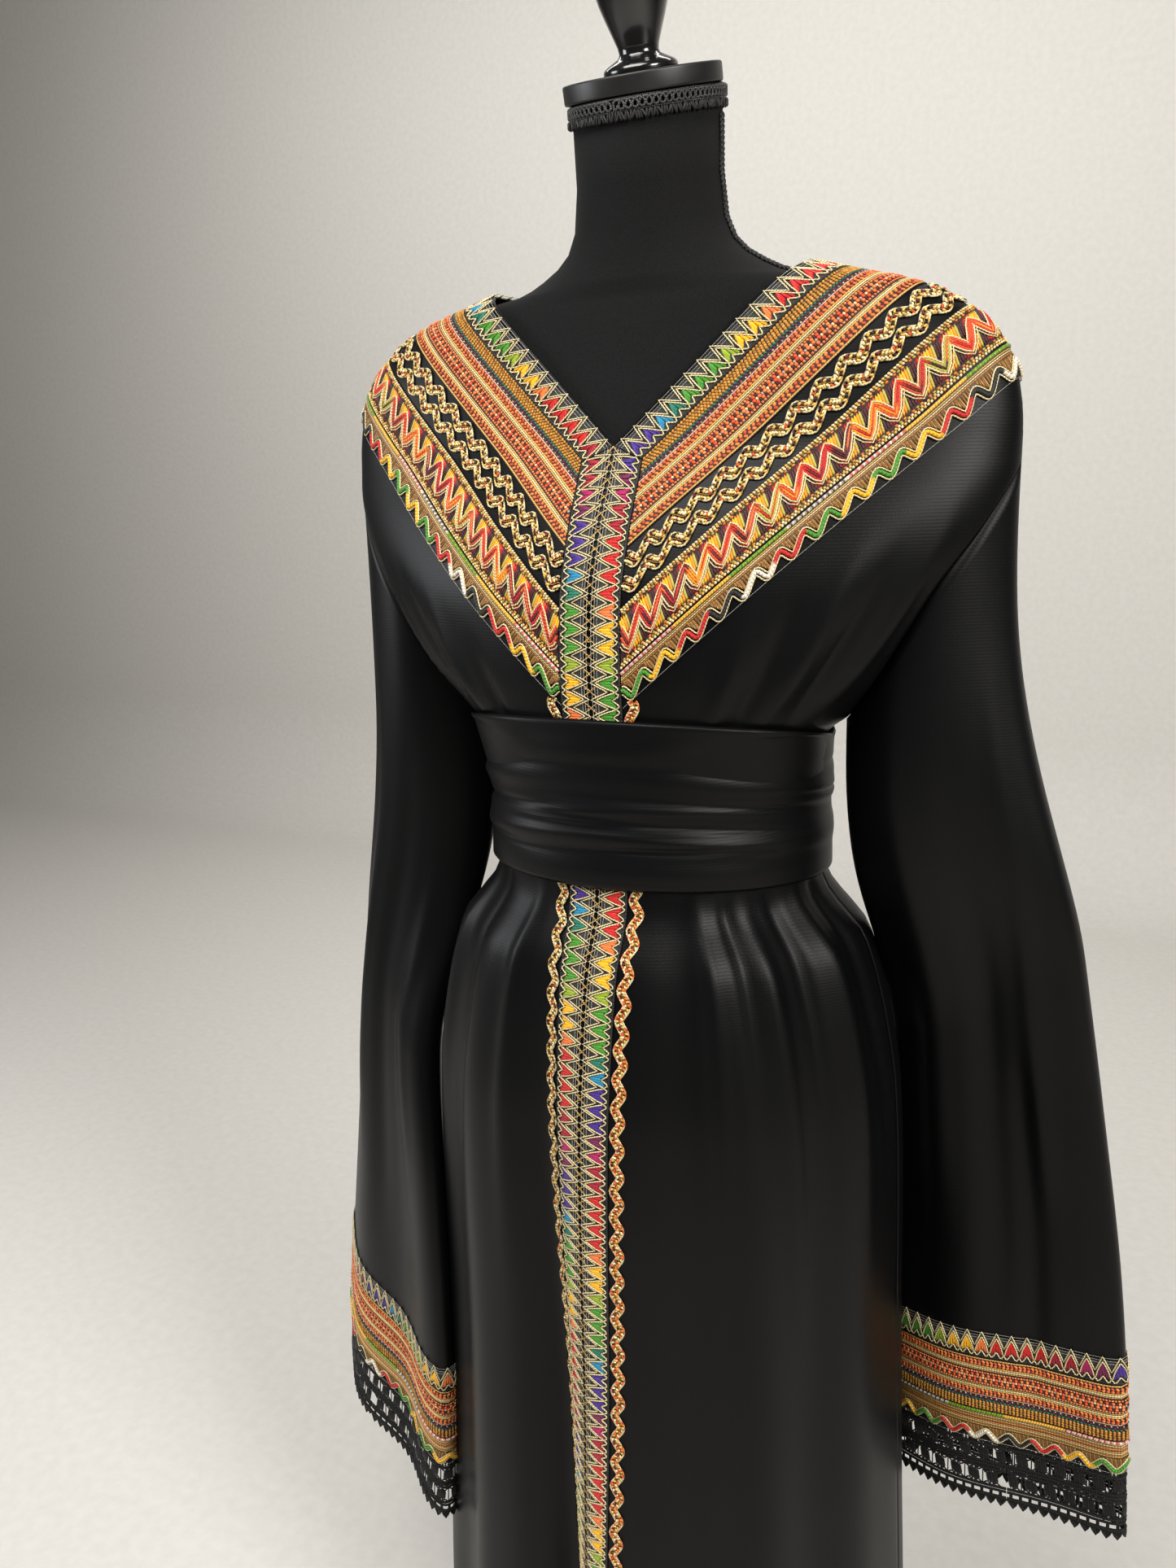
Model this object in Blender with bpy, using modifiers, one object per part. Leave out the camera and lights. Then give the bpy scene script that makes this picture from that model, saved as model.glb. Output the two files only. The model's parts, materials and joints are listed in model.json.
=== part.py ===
"""Kabyle dress of black satin on a limbless dress form.

Metres, +Z up. The origin is on the floor under the middle of the stand's base,
the front faces -Y and the wearer's left is +X.
"""
from bisect import bisect
from collections import namedtuple
from math import asin, atan2, cos, degrees, exp, floor, pi, radians, sin, sqrt, tan

import bmesh
import bpy
import numpy as np
from mathutils import Matrix, Vector
from mathutils.bvhtree import BVHTree

for old in list(bpy.data.objects):
    bpy.data.objects.remove(old, do_unlink=True)

# Driving sizes

WALL = 0.0016            # satin wall
TRIM_WALL = 0.0010       # braids and bands
LACE_WALL = 0.0016       # corded lace
SEAM_GAP = 0.0004        # between pieces that are sewn edge to edge
SHOULDER_GAP = 0.0012    # at the shoulder seams, where the two walls lean together
TIP_GAP = 0.0014         # at the outer end of those seams
ARMHOLE_GAP = 0.0009     # how far a sleeve starts below the armhole's edge
TRIM_GAP = 0.0006        # between a panel's face and what is sewn on it
REST_GAP = 0.0006        # between the form's shoulders and the cloth on them

HEM_HEIGHT = 0.030
SKIRT_TOP = 0.985        # where the skirt's folds start, under the sash
UNDERARM_HEIGHT = 1.090
TIP_HEIGHT = 1.270       # outer end of the dropped shoulder
NECK_SIDE_HEIGHT = 1.408
NECK_POINT_HEIGHT = 1.290
NECK_HALF_WIDTH = 0.122
NECK_BACK_HEIGHT = 1.384
ARMHOLE_LEAN = radians(21)
PANEL_TOP = 1.4045

CENTRE_BRAID_WIDTH = 0.0215
CENTRE_GAP = 0.0005
CENTRE_STRIP = 0.0255    # half width that the yoke bands stop at
RICKRACK_WIDTH = 0.0070
RICKRACK_SWING = 0.0034
RICKRACK_PERIOD = 0.022
RICKRACK_CENTRE = 0.0300
STRIP_TURN = radians(0.25)       # step for measuring along the cloth from the centre front
STRIP_DRIFT = radians(5.0)       # how far the skirt's centre line has swung to the right at the hem

RICKRACK_TOP = 1.119
CENTRE_TOP = 1.2565
CENTRE_HEM_RISE = 0.004

# Yoke: distances from the edge of the V neck
NECK_BRAID_EDGES = (0.0003, 0.0225)
CHEVRON_LINES = (0.0240, 0.0460, 0.0680)
INNER_RICKRACK_LINE = 0.0765
OUTER_RICKRACK_LINE = 0.0915
ZIGZAG_LINES = (0.1000, 0.1170, 0.1335)
SCALLOP_INNER = 0.1350
SCALLOP_OUTER = 0.1560
SCALLOP_PERIOD = 0.020
SCALLOP_DEPTH = 0.0095
YOKE_SEGMENTS = (13, 3)          # in front of the shoulder and behind it
NECK_BRAID_SEGMENTS = (13, 11)
LINE_SAMPLES = 60
SHARPEST = 0.40          # least cosine that an offset corner is stretched for
NECK_SLOPE = NECK_HALF_WIDTH / (NECK_SIDE_HEIGHT - NECK_POINT_HEIGHT)
BAND_REACH = sqrt(1.0 + NECK_SLOPE ** 2)     # across a level slice, for each unit square to the neck edge
YOKE_BACK_END = radians(108)
YOKE_LOW = 1.10          # the chest slopes back below the neck, so the bands look narrower there
YOKE_LOW_SHARE = 0.915
YOKE_FULL = 1.30
BACK_DROP = 0.95         # how fast the yoke lines drop down the back

# Cuff: heights above the end of the satin, and how far the lace hangs below it
CUFF_SCALLOP_TOP = 0.0245
CUFF_CHEVRON_TOP = 0.0760
CUFF_BRAID_TOP = 0.1020
CUFF_TRIM_TOP = 0.1060
CUFF_BAND_GAP = 0.0008
CUFF_SCALLOP_TIPS = (0.0020, -0.0065)
LACE_LINES = (-0.0004, -0.0120, -0.0270, -0.0350, -0.0500)
LACE_PICOTS = (-0.0640, -0.0700)
LACE_HOLE_LINES = (1, 3)
LACE_INSET = 0.0007      # the lace hangs from just inside the satin's face
LACE_SIDE_GAP = 0.02     # in sleeve columns
LACE_STEPS = 3           # to a sleeve column; every other one is an opening
LACE_STARTS = (("outer", -5), ("inner", 4))     # each half bends round one fold of the sleeve
SLEEVE_COLUMNS = 18
SLEEVE_SHARES = (0.06, 0.13, 0.22, 0.34, 0.50, 0.70, 1.0)
SLEEVE_ROUND = 0.7       # how blunt the sleeve's folds are, 1 for an ellipse
SLEEVE_EASE = 0.45

POLE_RADIUS = 0.014
BASE_RADIUS = 0.165
BASE_THICKNESS = 0.014
FORM_BOTTOM = 0.760
NECK_TILT = radians(16)
DISC_RADIUS = 0.056
DISC_THICKNESS = 0.0125

Section = namedtuple("Section", "height half_width front_depth back_depth")
BODY = [Section(*row) for row in [
    (0.030, 0.222, 0.176, 0.172),
    (0.265, 0.214, 0.169, 0.160),
    (0.410, 0.208, 0.164, 0.153),
    (0.580, 0.202, 0.160, 0.147),
    (0.726, 0.198, 0.162, 0.141),
    (0.794, 0.194, 0.161, 0.136),
    (0.857, 0.184, 0.155, 0.128),
    (0.917, 0.167, 0.145, 0.117),
    (0.967, 0.134, 0.1245, 0.103),
    (1.030, 0.132, 0.1225, 0.100),
    (1.070, 0.1335, 0.1226, 0.100),
    (1.078, 0.136, 0.1230, 0.100),
    (1.090, 0.151, 0.1238, 0.101),
    (1.105, 0.166, 0.1248, 0.101),
    (1.135, 0.194, 0.1270, 0.101),
    (1.180, 0.228, 0.1240, 0.099),
    (1.234, 0.257, 0.1050, 0.095),
    (1.270, 0.264, 0.0850, 0.090),
    (1.290, 0.264, 0.0750, 0.086),
    (1.323, 0.260, 0.0660, 0.079),
    (1.342, 0.252, 0.0620, 0.074),
    (1.360, 0.238, 0.0590, 0.069),
    (1.375, 0.220, 0.0565, 0.0640),
    (1.385, 0.2015, 0.0550, 0.0605),
    (1.392, 0.181, 0.0540, 0.0580),
    (1.3975, 0.160, 0.0530, 0.0565),
    (1.4025, 0.141, 0.0524, 0.0558),
    (1.408, 0.122, 0.0520, 0.0550),
]]

# Soft folds of the skirt: where they start below the sash, and how deep they are there and at the hem
Fold = namedtuple("Fold", "angle width waist_depth hem_depth")
SKIRT_FOLDS = [Fold(*row) for row in [
    (25, 9, -0.0050, -0.0110),
    (38, 10, 0.0040, 0.0080),
    (52, 10, -0.0040, -0.0070),
    (66, 9, 0.0030, 0.0040),
    (4, 6, 0.0000, 0.0060),
    (-12, 6.5, 0.0000, -0.0540),
    (-35, 9, 0.0040, 0.0090),
    (-49, 9, -0.0040, -0.0060),
    (-63, 12, 0.0030, 0.0110),
    (102, 14, 0.0050, 0.0040),
    (128, 10, -0.0040, -0.0080),
    (146, 11, 0.0040, 0.0080),
    (165, 10, -0.0040, -0.0090),
    (183, 11, 0.0040, 0.0090),
    (202, 10, -0.0040, -0.0080),
    (220, 11, 0.0040, 0.0080),
    (240, 10, -0.0030, -0.0060),
]]

SleeveRow = namedtuple("SleeveRow", "height outer_x outer_y inner_x inner_y half_thickness")
SLEEVE_LEFT = [SleeveRow(*row) for row in [
    (1.270, 0.264, 0.000, 0.150, 0.000, 0.046),
    (1.180, 0.278, 0.000, 0.150, 0.000, 0.046),
    (1.085, 0.296, 0.002, 0.152, 0.002, 0.042),
    (1.000, 0.311, 0.006, 0.168, 0.012, 0.034),
    (0.900, 0.328, 0.012, 0.181, 0.051, 0.025),
    (0.800, 0.345, 0.018, 0.181, 0.072, 0.020),
    (0.650, 0.369, 0.024, 0.184, 0.084, 0.017),
    (0.560, 0.379, 0.028, 0.186, 0.087, 0.016),
    (0.360, 0.393, 0.024, 0.189, 0.088, 0.017),
]]
SLEEVE_RIGHT = [SleeveRow(*row) for row in [
    (1.270, -0.264, 0.000, -0.150, 0.000, 0.046),
    (1.180, -0.265, 0.000, -0.150, 0.000, 0.045),
    (1.085, -0.269, 0.002, -0.152, -0.002, 0.040),
    (1.000, -0.279, 0.006, -0.166, -0.012, 0.032),
    (0.900, -0.294, 0.010, -0.185, -0.039, 0.024),
    (0.800, -0.310, 0.014, -0.195, -0.063, 0.022),
    (0.650, -0.336, 0.018, -0.191, -0.089, 0.020),
    (0.500, -0.360, 0.022, -0.191, -0.097, 0.021),
    (0.300, -0.382, 0.022, -0.196, -0.100, 0.022),
]]
SleeveFold = namedtuple("SleeveFold", "angle width top_depth cuff_depth")
FOLDS_LEFT = [SleeveFold(*row) for row in [
    (58, 30, 0.000, -0.0060),
    (112, 26, 0.004, 0.0050),
    (-70, 30, 0.000, -0.0060),
    (-125, 26, 0.000, 0.0050),
]]
FOLDS_RIGHT = [SleeveFold(*row) for row in [
    (70, 26, 0.000, 0.0110),
    (112, 24, 0.000, -0.0120),
    (-80, 30, 0.000, -0.0060),
    (-125, 26, 0.000, 0.0050),
]]
# The satin ends at outer_end on the outer fold and lower by slant on the inner fold
Sleeve = namedtuple("Sleeve", "name side rows folds outer_end slant")
SLEEVES = [
    Sleeve("left", 1, SLEEVE_LEFT, FOLDS_LEFT, 0.484, 0.045),
    Sleeve("right", -1, SLEEVE_RIGHT, FOLDS_RIGHT, 0.440, 0.057),
]

# Sash: the ring stands off the dress, with soft gathers raised on its outer face
SASH_STANDOFF = 0.0034
SASH_WALL = 0.0022
SASH_TOP_SIDE = 1.077
SASH_TOP_RISE = 0.027
SASH_BOTTOM_SIDE = 0.969
SASH_BOTTOM_RISE = 0.010
SASH_SHAPE_LOW = 0.974
SASH_ROWS = 6
SASH_INNER_LEVELS = (0, 3, 6)
SASH_COLUMNS = 30
SASH_GATHER_WIDTH = 0.11
Gather = namedtuple("Gather", "level angle spread depth")
SASH_GATHERS = [Gather(*row) for row in [
    (0.12, 20, 60, 0.0022),
    (0.30, 45, 50, 0.0030),
    (0.30, -35, 45, 0.0026),
    (0.46, 10, 45, 0.0020),
    (0.62, 70, 50, 0.0026),
    (0.62, -70, 50, 0.0026),
    (0.80, -10, 60, 0.0016),
    (0.38, 180, 80, 0.0026),
    (0.70, 180, 80, 0.0022),
]]

FormSection = namedtuple("FormSection", "height half_width front_depth back_depth")
FORM_TORSO = [FormSection(*row) for row in [
    (0.760, 0.150, 0.104, 0.088),
    (0.830, 0.158, 0.110, 0.094),
    (0.930, 0.140, 0.099, 0.080),
    (1.020, 0.117, 0.088, 0.064),
    (1.090, 0.124, 0.100, 0.068),
    (1.150, 0.146, 0.112, 0.078),
    (1.200, 0.164, 0.104, 0.080),
    (1.250, 0.178, 0.085, 0.077),
    (1.290, 0.186, 0.0690, 0.072),
    (1.350, 0.192, 0.0560, 0.060),
    (1.372, 0.190, 0.0520, 0.054),
    (1.3835, 0.181, 0.0500, 0.051),
]]
FORM_NECK = [FormSection(*row) for row in [
    (1.4015, 0.1120, 0.0500, 0.0490),
    (1.4060, 0.0980, 0.0495, 0.0485),
    (1.4120, 0.0860, 0.0490, 0.0480),
    (1.4200, 0.0730, 0.0490, 0.0475),
    (1.4300, 0.0630, 0.0490, 0.0470),
    (1.4450, 0.0565, 0.0500, 0.0470),
    (1.4750, 0.0530, 0.0530, 0.0470),
    (1.5310, 0.0530, 0.0620, 0.0430),
]]
SHOULDER_ROWS = [1.392, 1.3975]          # where the dress rests on the form
FORM_SHOULDER_DEPTH = 0.90
FORM_COLUMNS = 22
SEAT_GAP = 0.0003
SEAT_REACH = 0.012       # how far off a trim the face below it is looked for
SEAT_PASSES = 8
SEAT_STEPS = 5
GIMP_TOP = 0.0015
GIMP_HEIGHT = 0.013
GIMP_WALL = 0.0035
CORD_RADIUS = 0.0026
CORD_END = 0.1165        # how far out on the shoulder a side cord ends
FINIAL_PROFILE = [
    (0.0, 0.112), (0.008, 0.109), (0.008, 0.101), (0.0065, 0.098), (0.0200, 0.086), (0.0262, 0.073),
    (0.0272, 0.060), (0.0250, 0.045), (0.0165, 0.022), (0.0138, 0.013), (0.0225, 0.0065), (0.0262, 0.0035),
    (0.0262, 0.0), (0.0, 0.0),
]


# Curves and surfaces

CURVES = {}


def curve_of(rows, column):
    """Heights, values and slopes of one column, kept so that each is worked out once."""
    key = (id(rows), column)
    if key not in CURVES:
        order = sorted(rows, key=lambda row: row.height)
        xs = [row.height for row in order]
        ys = [getattr(row, column) for row in order]
        slopes = [(ys[k + 1] - ys[k]) / (xs[k + 1] - xs[k]) for k in range(len(xs) - 1)]
        tangents = [slopes[0]]
        for before, after in zip(slopes, slopes[1:]):
            same = before * after > 0
            tangents.append(2 * before * after / (before + after) if same else 0.0)
        tangents.append(slopes[-1])
        CURVES[key] = (xs, ys, tangents)
    return CURVES[key]


def smooth(rows, column, height):
    """Value of one column at a height, on a smooth curve that never overshoots its rows."""
    xs, ys, tangents = curve_of(rows, column)
    height = min(max(height, xs[0]), xs[-1])
    k = min(max(bisect(xs, height) - 1, 0), len(xs) - 2)
    step = xs[k + 1] - xs[k]
    u = (height - xs[k]) / step
    start = ys[k] * (1 + 2 * u) * (1 - u) ** 2 + tangents[k] * step * u * (1 - u) ** 2
    end = ys[k + 1] * u * u * (3 - 2 * u) - tangents[k + 1] * step * u * u * (1 - u)
    return start + end


def bump(angle, centre, width):
    """Bell of height 1 at the centre, in degrees, once round the body."""
    away = (angle - centre + 180) % 360 - 180
    return exp(-(away / width) ** 2)


def fold_depth(angle, height):
    """How far the skirt stands out or in at an angle from the front."""
    if height >= SKIRT_TOP:
        return 0.0
    drop = min(1.0, (SKIRT_TOP - height) / (SKIRT_TOP - HEM_HEIGHT))
    grow = min(1.0, (SKIRT_TOP - height) / 0.06)
    total = 0.0
    for fold in SKIRT_FOLDS:
        depth = fold.waist_depth + (fold.hem_depth - fold.waist_depth) * drop
        total += depth * bump(degrees(angle), fold.angle, fold.width)
    return total * grow


def body_point(angle, height, out=0.0):
    """Point on the dress: angle 0 is the front, 90 degrees the +X side, 180 the back."""
    width = smooth(BODY, "half_width", height)
    front = cos(angle) > 0
    depth = smooth(BODY, "front_depth" if front else "back_depth", height)
    push = fold_depth(angle, height)
    point = Vector(((width + push) * sin(angle), -(depth + push) * cos(angle), height))
    if out:
        point += body_normal(angle, height) * out
    return point


def body_normal(angle, height):
    """Outward normal of the dress at an angle and height."""
    turn = radians(1.0)
    rise = 0.0015
    low = min(max(height - rise, HEM_HEIGHT), NECK_SIDE_HEIGHT - 2 * rise)
    across = body_point(angle + turn, low + rise) - body_point(angle - turn, low + rise)
    along = body_point(angle, low + 2 * rise) - body_point(angle, low)
    return across.cross(along).normalized()


def neck_edge_x(height):
    """Half width of the V neck at a height, negative below its point."""
    return (height - NECK_POINT_HEIGHT) * NECK_SLOPE


def edge_angle(height):
    """Angle where the front panel ends: shoulder seam, armhole or side seam."""
    if height >= TIP_HEIGHT or height <= UNDERARM_HEIGHT:
        return pi / 2
    share = (TIP_HEIGHT - height) / (TIP_HEIGHT - UNDERARM_HEIGHT)
    return pi / 2 - ARMHOLE_LEAN * sin(pi * share) ** 0.6


def yoke_line_x(distance, height):
    """Half width of the line at a distance from the neck edge, at a height."""
    share = min(1.0, max(0.0, (height - YOKE_LOW) / (YOKE_FULL - YOKE_LOW)))
    narrowing = YOKE_LOW_SHARE + (1 - YOKE_LOW_SHARE) * share
    return neck_edge_x(height) + BAND_REACH * distance * narrowing


def highest_where(test, low, high):
    """Height at which a test that holds below stops holding."""
    for _ in range(36):
        middle = (low + high) / 2
        low, high = (middle, high) if test(middle) else (low, middle)
    return low


def back_neck_ends(distance):
    """Where a yoke line crosses the shoulder and the centre back: half width and depth."""
    def inside(height):
        return smooth(BODY, "half_width", height) > yoke_line_x(distance, height)

    ridge = highest_where(inside, TIP_HEIGHT - 0.05, NECK_SIDE_HEIGHT)
    low_point = NECK_BACK_HEIGHT - BACK_DROP * distance
    return smooth(BODY, "half_width", ridge), smooth(BODY, "back_depth", low_point)


def band_place(distance, angle):
    """Angle round the body and height of a point on a yoke line; past 90 degrees it is behind."""
    if angle <= pi / 2:
        def inside(height):
            return smooth(BODY, "half_width", height) * sin(angle) > yoke_line_x(distance, height)

        return angle, highest_where(inside, 1.00, NECK_SIDE_HEIGHT)
    side_x, back_y = back_neck_ends(distance)
    x = side_x * cos(angle - pi / 2)
    y = back_y * sin(angle - pi / 2)

    def under(height):
        width = smooth(BODY, "half_width", height)
        depth = smooth(BODY, "back_depth", height)
        return (x / width) ** 2 + (y / depth) ** 2 < 1

    height = highest_where(under, NECK_POINT_HEIGHT - 0.06, NECK_SIDE_HEIGHT)
    turn = atan2(x / smooth(BODY, "half_width", height), -y / smooth(BODY, "back_depth", height))
    return turn, height


def on_panel(angle, height):
    """Point on the flat of a dress panel, between the two of its level rows next to the height."""
    rows = FRONT_ROWS if cos(angle) > 0 else BACK_ROWS
    k = min(max(bisect(rows, height) - 1, 0), len(rows) - 2)
    share = (height - rows[k]) / (rows[k + 1] - rows[k])
    if share > 1:
        return body_point(angle, height)
    return body_point(angle, rows[k]).lerp(body_point(angle, rows[k + 1]), share)


def band_point(side, distance, angle):
    """Point on the chest or shoulder at a distance from the neck edge."""
    turn, height = band_place(distance, angle)
    return on_panel(side * turn, height)


def strip_angle(distance, half_width):
    """Angle at which a yoke line meets the centre strip."""
    return highest_where(lambda angle: band_point(1, distance, angle).x < half_width, 0.0, pi / 4)


def sleeve_seam(sleeve, angle):
    """Point on the armhole: angle 0 at the shoulder tip, 180 degrees under the arm, front first."""
    share = (1 - cos(angle)) / 2
    height = TIP_HEIGHT - (TIP_HEIGHT - UNDERARM_HEIGHT) * share
    round_body = edge_angle(height)
    if sin(angle) < 0:
        round_body = pi - round_body
    point = body_point(round_body, height)
    return Vector((point.x * sleeve.side, point.y, height))


def sleeve_ring(sleeve, angle, height):
    """Point of the hanging sleeve, flattened between its outer and inner folds."""
    outer = Vector((smooth(sleeve.rows, "outer_x", height), smooth(sleeve.rows, "outer_y", height), 0))
    inner = Vector((smooth(sleeve.rows, "inner_x", height), smooth(sleeve.rows, "inner_y", height), 0))
    thick = smooth(sleeve.rows, "half_thickness", height)
    half = (outer - inner) / 2
    along = half.normalized()
    front = Vector((along.y, -along.x, 0)) * sleeve.side
    top = sleeve.rows[0].height
    drop = (top - height) / (top - sleeve.rows[-1].height)
    push = 0.0
    for fold in sleeve.folds:
        depth = fold.top_depth + (fold.cuff_depth - fold.top_depth) * drop
        push += depth * bump(degrees(angle), fold.angle, fold.width)
    facing = 1 if sin(angle) >= 0 else -1
    swell = abs(sin(angle)) ** SLEEVE_ROUND
    offset = front * facing * (thick * swell + push * abs(sin(angle)))
    point = (outer + inner) / 2 + half * cos(angle) + offset
    return Vector((point.x, point.y, height))


def even_angles(curve, start, end, count):
    """Angles that cut a curve into equal lengths."""
    samples = 240
    angles = [start + (end - start) * k / samples for k in range(samples + 1)]
    points = [curve(angle) for angle in angles]
    lengths = [0.0]
    for k in range(samples):
        lengths.append(lengths[-1] + (points[k + 1] - points[k]).length)
    wanted = [lengths[-1] * k / count for k in range(count + 1)]
    return [float(np.interp(length, lengths, angles)) for length in wanted]


def cuff_angles(sleeve):
    """Angle of each sleeve column at the cuff, evenly spaced round each half."""
    half = SLEEVE_COLUMNS // 2

    def curve(angle):
        return sleeve_ring(sleeve, angle, sleeve.outer_end)

    front = even_angles(curve, 0.0, pi, half)
    back = even_angles(curve, pi, 2 * pi, half)
    return front[:-1] + back[:-1]


CUFF_ANGLES = {sleeve.name: cuff_angles(sleeve) for sleeve in SLEEVES}


def satin_end(sleeve, column):
    """Height at which the satin ends on a sleeve column."""
    return sleeve.outer_end - sleeve.slant * (1 - cos(CUFF_ANGLES[sleeve.name][column % SLEEVE_COLUMNS])) / 2


def sleeve_point(sleeve, column, height):
    """Point where a sleeve column passes a height; column 0 is the outer fold."""
    column = column % SLEEVE_COLUMNS
    at_seam = 2 * pi * column / SLEEVE_COLUMNS
    at_cuff = CUFF_ANGLES[sleeve.name][column]
    start = sleeve_seam(sleeve, at_seam)
    share = (start.z - height) / (start.z - satin_end(sleeve, column))
    blend = min(1.0, max(0.0, share / SLEEVE_EASE))
    blend = blend * blend * (3 - 2 * blend)
    ring = sleeve_ring(sleeve, at_seam + (at_cuff - at_seam) * blend, height)
    point = ring * blend + start * (1 - blend)
    return Vector((point.x, point.y, height))


def cuff_point(sleeve, column, rise):
    """Point of a sleeve column near the cuff, a rise above or below the end of its satin."""
    end = satin_end(sleeve, column)
    if rise <= 0:
        return sleeve_point(sleeve, column, end + rise)
    above = sleeve_point(sleeve, column, end + CUFF_TRIM_TOP)
    return sleeve_point(sleeve, column, end).lerp(above, rise / CUFF_TRIM_TOP)


def cuff_between(sleeve, column, rise):
    """The same on the flat between two columns."""
    low = floor(column)
    first = cuff_point(sleeve, low, rise)
    if column == low:
        return first
    return first.lerp(cuff_point(sleeve, low + 1, rise), column - low)


# Making solids

def new_material(name, colour, roughness, metallic=0.0):
    """Plain material of one sub-part."""
    material = bpy.data.materials.new(name)
    material.use_nodes = True
    shader = material.node_tree.nodes["Principled BSDF"]
    shader.inputs["Base Color"].default_value = (*colour, 1.0)
    shader.inputs["Roughness"].default_value = roughness
    shader.inputs["Metallic"].default_value = metallic
    return material


SATIN = (0.012, 0.012, 0.014)
GOLD = (0.62, 0.45, 0.18)
ORANGE = (0.60, 0.20, 0.06)
BRONZE = (0.26, 0.15, 0.05)
GREEN = (0.16, 0.35, 0.10)
LACE = (0.010, 0.010, 0.011)
JERSEY = (0.018, 0.018, 0.019)
GLOSS_BLACK = (0.012, 0.012, 0.012)
STEEL_BLACK = (0.03, 0.03, 0.03)

dress = bpy.data.collections.new("kabyle_dress")
bpy.context.scene.collection.children.link(dress)


def add_object(name, data, colour, roughness, metallic=0.0):
    """Link a new object with a material of its own."""
    thing = bpy.data.objects.new(name, data)
    dress.objects.link(thing)
    thing.data.materials.append(new_material(name + "_finish", colour, roughness, metallic))
    return thing


def grid_faces(rows, columns, closed, holes):
    """Quads between neighbouring rows and columns of a grid of points."""
    faces = []
    for i in range(rows - 1):
        for j in range(columns if closed else columns - 1):
            if (i, j) in holes:
                continue
            k = (j + 1) % columns
            faces.append((i * columns + j, i * columns + k, (i + 1) * columns + k, (i + 1) * columns + j))
    return faces


def moved_out(grid, distance, closed=False):
    """The same grid a distance off its own faces, on the side that they face."""
    rows = len(grid)
    columns = len(grid[0])
    touching = {}
    for face in grid_faces(rows, columns, closed, ()):
        corners = [grid[v // columns][v % columns] for v in face]
        normal = (corners[2] - corners[0]).cross(corners[3] - corners[1])
        if normal.length < 1e-12:
            continue
        for v in face:
            touching.setdefault(v, []).append(normal.normalized())
    result = []
    for i in range(rows):
        line = []
        for j in range(columns):
            normals = touching[i * columns + j]
            mean = sum(normals, Vector()).normalized()
            spread = max(SHARPEST, min(mean.dot(normal) for normal in normals))
            line.append(grid[i][j] + mean * (distance / spread))
        result.append(line)
    return result


def skin_of(points, faces):
    """Surface to lay trims on, with each four-sided face split both ways."""
    triangles = []
    for a, b, c, d in faces:
        triangles += [(a, b, c), (a, c, d), (a, b, d), (b, c, d)]
    return BVHTree.FromPolygons(points, triangles)


def corner_shares():
    """Shares of a four-sided face's corners at points spread over it, for both ways it may be split."""
    shares = set()
    for i in range(SEAT_STEPS):
        for j in range(SEAT_STEPS):
            u = i / (SEAT_STEPS - 1)
            v = j / (SEAT_STEPS - 1)
            shares.add((1 - u, u - v, v, 0.0) if u >= v else (1 - v, 0.0, u, v - u))
            shares.add((1 - u - v, u, 0.0, v) if u + v <= 1 else (0.0, 1 - v, u + v - 1, 1 - u))
    return sorted(shares)


def sewn_on(grid, skin, closed=False):
    """The grid laid on the skin: moved out, then raised wherever a face still comes too near."""
    rows = len(grid)
    columns = len(grid[0])
    faces = grid_faces(rows, columns, closed, ())
    points = [point for line in grid for point in line]
    outer = [point for line in moved_out(grid, TRIM_GAP, closed) for point in line]
    rises = [(high - low).normalized() for high, low in zip(outer, points)]
    for k, (point, rise) in enumerate(zip(points, rises)):
        hit = skin.ray_cast(point + rise * SEAT_REACH, -rise, 2 * SEAT_REACH)
        points[k] = (point if hit[0] is None else hit[0]) + (outer[k] - point)
    shares = corner_shares()
    for _ in range(SEAT_PASSES):
        lifts = [0.0] * len(points)
        for face in faces:
            corners = [points[v] for v in face]
            normal = (corners[2] - corners[0]).cross(corners[3] - corners[1]).normalized()
            for share in shares:
                spot = sum((corner * part for corner, part in zip(corners, share)), Vector())
                hit = skin.ray_cast(spot + normal * SEAT_REACH, -normal, 2 * SEAT_REACH)
                if hit[0] is None:
                    continue
                short = TRIM_GAP - (hit[3] - SEAT_REACH)
                whole = sum(part * part for part in share)
                for v, part in zip(face, share):
                    lifts[v] = max(lifts[v], short * part / whole)
        points = [point + rise * lift for point, rise, lift in zip(points, rises, lifts)]
    return [points[row * columns:(row + 1) * columns] for row in range(rows)]


def shell(name, grid, thickness, outward, colour, roughness, closed=False, holes=()):
    """Wall of even thickness on a grid of points whose faces look outwards."""
    columns = len(grid[0])
    mesh = bpy.data.meshes.new(name)
    points = [point for line in grid for point in line]
    mesh.from_pydata(points, [], grid_faces(len(grid), columns, closed, holes))
    build = bmesh.new()
    build.from_mesh(mesh)
    bmesh.ops.remove_doubles(build, verts=build.verts, dist=0.00005)
    loose = [vert for vert in build.verts if not vert.link_faces]
    bmesh.ops.delete(build, geom=loose, context="VERTS")
    build.to_mesh(mesh)
    build.free()
    thing = add_object(name, mesh, colour, roughness)
    wall = thing.modifiers.new("wall", "SOLIDIFY")
    wall.thickness = thickness
    wall.offset = 1.0 if outward else -1.0
    wall.use_even_offset = True
    return thing


def turned(name, profile, steps, colour, roughness, metallic=0.0):
    """Solid of revolution about Z from a profile of (radius, height), top to bottom."""
    mesh = bpy.data.meshes.new(name)
    edges = [(k, k + 1) for k in range(len(profile) - 1)]
    mesh.from_pydata([(radius, 0.0, height) for radius, height in profile], edges, [])
    thing = add_object(name, mesh, colour, roughness, metallic)
    screw = thing.modifiers.new("turn", "SCREW")
    screw.steps = steps
    screw.render_steps = steps
    screw.use_merge_vertices = True
    screw.merge_threshold = 0.00005
    screw.use_smooth_shade = True
    return thing


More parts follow.
